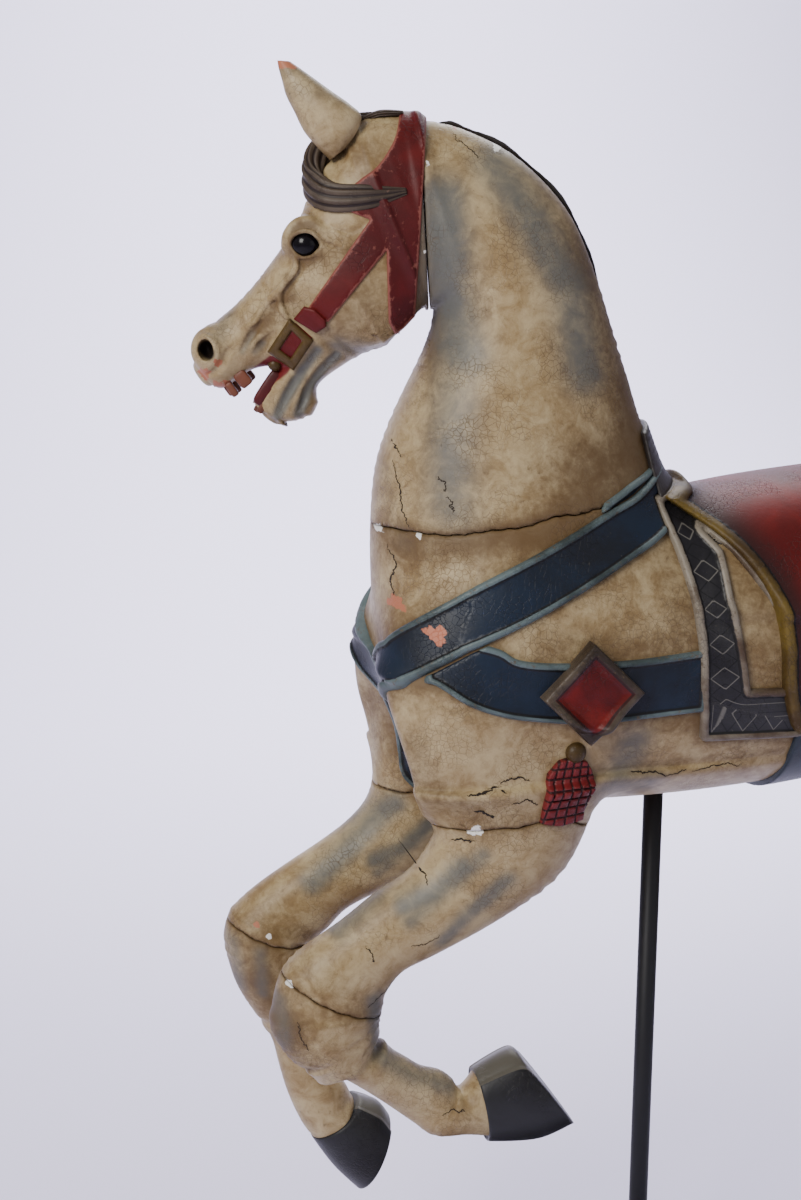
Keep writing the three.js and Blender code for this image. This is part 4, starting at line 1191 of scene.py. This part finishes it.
laid("buckle", olive, 0.0013, (-0.435, -0.07, 1.12), (-0.372, 0.07, 1.195), buckle_frame,
     lambda edge, x, y, z: 0.0065 - 0.35 * np.maximum(edge + 0.003, 0))

# The hooves, charcoal with a strip of lighter grey-brown down the heel.
charcoal = plain_paint("charcoal_hoof_paint", (0.020, 0.020, 0.022), (0.011, 0.010, 0.011),
                       (0.10, 0.085, 0.07),
                       wear=(0.66, 0.80))
near_hoof = [(-0.218, 0.288, -0.232, 0.369, 0.031), (-0.214, 0.284, -0.229, 0.374, 0.035),
             (-0.160, 0.280, -0.191, 0.391, 0.042), (-0.118, 0.295, -0.178, 0.379, 0.044)]
far_hoof = [(-0.387, 0.235, -0.328, 0.275, 0.032), (-0.385, 0.229, -0.322, 0.273, 0.036),
            (-0.362, 0.192, -0.303, 0.264, 0.042), (-0.335, 0.160, -0.292, 0.248, 0.044)]
hind_hoof = [(0.656, 0.288, 0.710, 0.334, 0.032), (0.659, 0.282, 0.716, 0.333, 0.036),
             (0.686, 0.248, 0.752, 0.322, 0.042), (0.712, 0.228, 0.768, 0.306, 0.044)]
for name, ribs, side in (("near_fore_hoof", near_hoof, -leg_spread),
                         ("far_fore_hoof", far_hoof, leg_spread),
                         ("near_hind_hoof", hind_hoof, -hip_spread),
                         ("far_hind_hoof", hind_hoof, hip_spread)):
    hoof = ribbed(name, ribs, side, charcoal, around=96,
                  shape=lambda t, a: (1 - 0.05 * (np.cos(a) < -0.80)
                                      - 0.02 * np.clip(1 - 12 * t, 0, 1)))
    angle = 2 * np.pi * (np.arange(len(hoof.data.vertices)) % 96) / 96
    mark(hoof, "heel", np.cos(angle) < -0.78)

# The tail, carved full and fluted. It curves down behind the hind legs.
hair = plain_paint("grey_brown_hair_paint", (0.088, 0.064, 0.045), (0.038, 0.026, 0.018),
                   (0.22, 0.125, 0.09), 0.5, groove=True)
tail_ribs = [
    (0.470, 0.900, 0.480, 0.955, 0.026), (0.520, 0.905, 0.515, 0.968, 0.032),
    (0.562, 0.905, 0.570, 0.978, 0.036), (0.596, 0.880, 0.640, 0.946, 0.042),
    (0.610, 0.830, 0.688, 0.868, 0.046), (0.612, 0.770, 0.706, 0.790, 0.047),
    (0.606, 0.700, 0.700, 0.706, 0.044), (0.604, 0.630, 0.676, 0.630, 0.036),
    (0.610, 0.575, 0.648, 0.570, 0.022), (0.622, 0.540, 0.632, 0.536, 0.008)]
tail = ribbed("tail", tail_ribs, 0.0, hair, around=96,
              shape=lambda t, a: 1 - 0.10 * (0.5 + 0.5 * np.cos(9 * a + 9 * t)))
mark(tail, "groove", np.full(len(tail.data.vertices), 0.004))

# The ears, pricked, each a leaf of wood hollowed to the front, with its tip worn bare.
ear_ribs = [
    (-0.362, 1.338, -0.346, 1.350, 0.012), (-0.375, 1.351, -0.335, 1.366, 0.017),
    (-0.388, 1.366, -0.331, 1.381, 0.019), (-0.397, 1.384, -0.342, 1.392, 0.019),
    (-0.405, 1.400, -0.361, 1.405, 0.016), (-0.409, 1.415, -0.378, 1.417, 0.012),
    (-0.412, 1.426, -0.391, 1.426, 0.008), (-0.413, 1.433, -0.400, 1.432, 0.005)]
for side, word in ((-1, "near"), (1, "far")):
    def cup(t, a, side=side):
        """Scale of each ring: pressed in on its inner face, most in the middle of the ear."""
        off = (a + side * 0.9 + np.pi) % (2 * np.pi) - np.pi
        middle = np.clip(5 * t - 0.6, 0, 1) * np.clip(9 - 9 * t, 0, 1)
        return 1 - 0.7 * np.exp(-(off / 0.45) ** 2) * middle

    ear = ribbed(word + "_ear", ear_ribs, side * 0.036, cream, around=64, per=10, shape=cup)
    height = np.array([v.co.z for v in ear.data.vertices]) - lift
    mark(ear, "stain", 0.35 + 0.9 * np.clip((1.362 - height) / 0.02, 0, 1))
    mark(ear, "shade", 0.45 * np.clip((height - 1.37) / 0.03, 0, 1))
    mark(ear, "bare", np.clip((height - 1.421) / 0.008, 0, 1))

# The glass eyes in their sockets, with the knobs that hold the tassels and the small rings of the
# bit, both turned balls in olive-gold.
glass, _, _, shader = new_material("eye_glass", (0.004, 0.003, 0.004), 0.16)
shader.inputs["Specular IOR Level"].default_value = 0.22


def round_grid(rings, around):
    """Points of a ball of radius one, as rings from pole to pole."""
    a, b = np.pi * np.arange(1, rings) / rings, 2 * np.pi * np.arange(around) / around
    return np.stack([np.sin(a)[:, None] * np.cos(b), np.sin(a)[:, None] * np.sin(b),
                     -np.cos(a)[:, None] * np.ones(around)], -1)


def ball(name, centre, radii, material):
    """A ball or ellipsoid that turns with the head."""
    return surface_piece(name, turn_head(round_grid(24, 48) * radii + centre), material)


for side, word in ((-1, "left"), (1, "right")):
    eye = ball(word + "_glass_eye", (-0.387, side * 0.046, 1.257), (0.015,) * 3, glass)
    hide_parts(word + "_eye")
    on_horse(ball(word + "_knob", (-0.148, side * 0.136, 0.751), (0.011, 0.009, 0.011), olive))
    on_horse(ball(word + "_ring", (-0.422, side * 0.021, 1.135), (0.007,) * 3, olive))

# The teeth, worn blocks of wood in dark red gums. Four show above and four below in front, with a
# molar and a bar of gum on each side of the open mouth.
gum_paint = plain_paint("dark_red_gum_paint", (0.09, 0.007, 0.007), (0.035, 0.004, 0.004),
                        (0.25, 0.07, 0.05))
tooth_paint = plain_paint("worn_tooth_paint", (0.17, 0.058, 0.032), (0.09, 0.03, 0.018),
                          (0.42, 0.27, 0.17))


def tooth(name, centre, size, tilt, material):
    """A block with rounded edges, leaning by the given angle in the x-z plane: a ball whose
    coordinates are raised to a power below one."""
    ball_ring = round_grid(16, 24)
    ring = np.sign(ball_ring) * np.abs(ball_ring) ** 0.45 * np.array(size) / 2
    x = ring[..., 0] * np.cos(tilt) + ring[..., 2] * np.sin(tilt)
    z = ring[..., 2] * np.cos(tilt) - ring[..., 0] * np.sin(tilt)
    points = np.stack([x, ring[..., 1], z], -1) + centre
    on_horse(surface_piece(name, turn_head(points), material))


for n, y in enumerate((-0.017, -0.006, 0.006, 0.017)):
    back = 0.007 * abs(y) / 0.017
    tooth(f"upper_tooth_{n}", (-0.474 + back, y, 1.109), (0.008, 0.009, 0.017), -0.6, tooth_paint)
    tooth(f"lower_tooth_{n}", (-0.4415 + back, y, 1.092), (0.007, 0.008, 0.018), 0.6, tooth_paint)
for side, word in ((-1, "left"), (1, "right")):
    tooth(word + "_upper_molar", (-0.455, side * 0.020, 1.120), (0.014, 0.009, 0.018), -0.7,
          tooth_paint)
    tooth(word + "_lower_gum", (-0.4290, side * 0.015, 1.110), (0.016, 0.013, 0.042), 0.6,
          gum_paint)

# The forelock, a fluted lock that loops over the brow and tucks under the bridle, and two short
# locks on the poll between the ears.


def strand(name, points, across):
    """A lock of hair: an oval section with nine lengthwise flutes carried along a curve in space,
    whose rows are x, y, z and the two half widths."""
    around, flutes, depth = 56, 9, 0.20
    rows = catmull(points, 12)
    along = np.gradient(rows[:, :3], axis=0)
    out = np.cross(along, across)
    out /= np.linalg.norm(out, axis=1, keepdims=True)
    side = np.cross(out, along)
    side /= np.linalg.norm(side, axis=1, keepdims=True)
    angle = 2 * np.pi * np.arange(around) / around
    scale = 1 - depth * (0.5 + 0.5 * np.cos(flutes * angle))
    ring = (rows[:, None, :3] + side[:, None] * (rows[:, 3:4] * np.cos(angle) * scale)[..., None]
            + out[:, None] * (rows[:, 4:5] * np.sin(angle) * scale)[..., None])
    piece = surface_piece(name, turn_head(ring), hair)
    # The bottoms of the flutes are painted near black: painted shade in the flutes.
    groove = np.tile(0.004 * (0.5 - 0.5 * np.cos(flutes * angle)), len(rows))
    ends = np.full(len(piece.data.vertices) - len(groove), 0.004)
    mark(piece, "groove", np.append(groove, ends))
    on_horse(piece)


strand("forelock", [
    (-0.312, -0.004, 1.381, 0.006, 0.005), (-0.345, -0.010, 1.372, 0.011, 0.009),
    (-0.373, -0.020, 1.345, 0.015, 0.010), (-0.380, -0.034, 1.318, 0.0165, 0.011),
    (-0.362, -0.051, 1.302, 0.0165, 0.011), (-0.323, -0.058, 1.302, 0.0135, 0.010),
    (-0.286, -0.059, 1.308, 0.004, 0.004)], (0, 0, 1))
for side, word in ((-1, "near"), (1, "far")):
    strand(word + "_poll_lock", [
        (-0.330, side * 0.012, 1.378, 0.003, 0.003), (-0.312, side * 0.020, 1.3835, 0.010, 0.004),
        (-0.290, side * 0.016, 1.384, 0.006, 0.003)], (0, 1, 0))

# The mane falls to the off side in one row of eight carved locks, dark with old paint. From the
# near side only its edge shows, standing a little above the crest.
mane_rows, mane_sides, locks, hairs = 260, 48, 8, 40
t = np.linspace(0, 1, mane_rows)
place = 0.03 + 0.97 * t
table = catmull(neck_ribs[3:-1], 40)
row = np.array([np.interp(place * (len(table) - 1), np.arange(len(table)), table[:, k])
                for k in range(5)])
front_x, front_z, back_x, back_z, half = row[:, :, None]
ridge = (0.5 - 0.5 * np.cos(2 * np.pi * locks * t))[:, None]
fine = np.cos(2 * np.pi * hairs * t)[:, None]
angle = (2 * np.pi * np.arange(mane_sides) / mane_sides)[None]
end = (np.clip(12 * t, 0, 1) * np.clip(12 - 12 * t, 0, 1))[:, None]
reach = 0.5 - 0.5 * np.cos(angle)
fall = 0.012 + reach * (0.34 + 0.16 * ridge)
over = end * (0.0055 + 0.002 * ridge + (0.007 + 0.006 * ridge) * np.sin(angle)
              + 0.0012 * fine * np.clip(np.sin(angle), 0, 1))
down = 1 - 2 * fall
depth = np.hypot(back_x - front_x, back_z - front_z) / 2
lean = (depth + over) / (2 * depth) * down + 0.5
points = np.stack([front_x + (back_x - front_x) * lean, (half + over) * np.sqrt(1 - down ** 2),
                   front_z + (back_z - front_z) * lean - 0.05 * reach * ridge], -1)
on_horse(surface_piece("mane", turn_head(points), mane_paint))

# Checks in the wood have come through the paint as dark splits: short ragged slivers that follow
# the grain, made as thin strips that lie just proud of the surface.
dark_line, *_ = new_material("crack_dark", (0.018, 0.011, 0.006), 0.9)


def split(name, places, width, seed):
    """A ragged dark sliver through places in the x-z plane, on the near side: a random walk about
    the curve through them, tied at both ends, as wide as a half sine with random narrowing."""
    rng = np.random.default_rng(seed)
    line = catmull(places, max(2, 60 // (len(places) - 1)))
    rough = np.cumsum(rng.normal(0, 1, (len(line), 2)), axis=0)
    rough -= np.linspace(0, 1, len(line))[:, None] * rough[-1]
    line = line + 0.00055 * rough
    ahead = np.gradient(line, axis=0)
    ahead /= np.linalg.norm(ahead, axis=1, keepdims=True) + 1e-9
    across = np.stack([-ahead[:, 1], ahead[:, 0]], 1)
    t = np.linspace(0, 1, len(line))
    half = width / 2 * np.sin(np.pi * t) ** 0.6 * rng.uniform(0.35, 1.0, len(line)) + 0.00012
    rows = [line + across * (half * k)[:, None] for k in (-1, 0, 1)]
    points = np.stack([np.column_stack([p[:, 0], -side_of(p[:, 0], p[:, 1]) - 0.0004, p[:, 1]])
                       for p in rows], 1)
    on_horse(surface_piece(name, turn_head(points), dark_line, closed=False))


splits = [
    ([(-0.084, 0.722), (-0.050, 0.717), (-0.019, 0.718)], 0.0016),
    ([(-0.012, 0.714), (0.020, 0.716), (0.046, 0.717)], 0.0012),
    ([(-0.262, 0.713), (-0.237, 0.717), (-0.222, 0.714)], 0.0028),
    ([(-0.226, 0.722), (-0.210, 0.725), (-0.196, 0.722)], 0.0020),
    ([(-0.253, 0.692), (-0.243, 0.690), (-0.234, 0.686)], 0.0030),
    ([(-0.215, 0.700), (-0.198, 0.705), (-0.188, 0.698)], 0.0014),
    ([(-0.360, 0.477), (-0.338, 0.489), (-0.322, 0.507)], 0.0014),
    ([(-0.266, 0.655), (-0.256, 0.657), (-0.248, 0.655)], 0.0022),
    ([(-0.302, 1.040), (-0.296, 1.005), (-0.292, 0.976)], 0.0012),
    ([(-0.312, 0.955), (-0.309, 0.930), (-0.312, 0.905)], 0.0014),
    ([(-0.240, 1.365), (-0.225, 1.355), (-0.215, 1.340)], 0.0008),
    ([(-0.150, 0.945), (-0.120, 0.952), (-0.100, 0.962)], 0.0008),
    ([(-0.235, 0.835), (-0.215, 0.8385), (-0.200, 0.836)], 0.0008),
    ([(-0.315, 0.545), (-0.300, 0.548), (-0.285, 0.555)], 0.0008),
    ([(-0.435, 0.470), (-0.432, 0.455), (-0.425, 0.440)], 0.0010),
    ([(-0.275, 0.335), (-0.262, 0.338), (-0.250, 0.335)], 0.0012),
]
for n, (places, width) in enumerate(splits):
    split(f"split_{n}", places, width, 40 + n)
for n, (x, z) in enumerate([(-0.262, 1.030), (-0.258, 1.010), (-0.30, 0.62), (-0.36, 0.545),
                            (-0.30, 1.06)]):
    split(f"check_{n}", [(x, z), (x + 0.004, z - 0.006), (x + 0.005, z - 0.014)], 0.0010, 80 + n)

# The studio: a pale paper sweep under and behind the horse, a camera before its near shoulder, a
# soft key lamp from the front left, a weak fill, and two lamps for the paper.
scene = bpy.context.scene
camera_data = bpy.data.cameras.new("camera")
camera_data.lens = 50
camera_data.sensor_width = 36
camera = bpy.data.objects.new("camera", camera_data)
camera.location = (-0.7402, -1.6538, 1.3 + lift)
camera.rotation_euler = Euler((np.radians(90 - 13.5), 0, np.radians(-15)), "XYZ")
scene.collection.objects.link(camera)
scene.camera = camera

paper, *_ = new_material("pale_paper", (0.78, 0.745, 0.96), 0.9)
bend = np.linspace(0, np.pi / 2, 25)
sweep = [(-9.0, 0.0)]
sweep += [(3.0 + 2.5 * np.sin(a), 2.5 - 2.5 * np.cos(a)) for a in bend] + [(5.5, 9.0)]
sweep = np.array([[(x, y, z) for x in (-12.0, 12.0)] for y, z in sweep])
floor = surface_piece("floor", sweep, paper, closed=False)
floor.parent = None

world = bpy.data.worlds.new("studio")
scene.world = world
world.use_nodes = True
sky = world.node_tree.nodes["Background"]
sky.inputs["Color"].default_value = (0.86, 0.86, 0.95, 1)
sky.inputs["Strength"].default_value = 0.38


def area_light(name, place, aim, size, power, colour=(1, 1, 1)):
    """A square lamp at a place in the studio, aimed at a point."""
    data = bpy.data.lights.new(name, "AREA")
    data.size = size
    data.energy = power
    data.color = colour
    lamp = bpy.data.objects.new(name, data)
    lamp.location = place
    lamp.rotation_euler = (Vector(aim) - Vector(place)).to_track_quat("-Z", "Y").to_euler()
    scene.collection.objects.link(lamp)


area_light("key", (-2.6, -2.0, 2.8), (-0.15, 0, 0.9), 1.5, 125, (1.0, 0.97, 0.92))
area_light("fill", (2.4, -3.0, 1.8), (0.0, 0, 0.8), 2.5, 10)
area_light("paper", (0.9, 2.2, 3.4), (0.9, 5.2, 1.0), 2.0, 330)
area_light("floor", (0.9, 2.2, 3.2), (0.6, 2.0, 0.0), 2.0, 90)
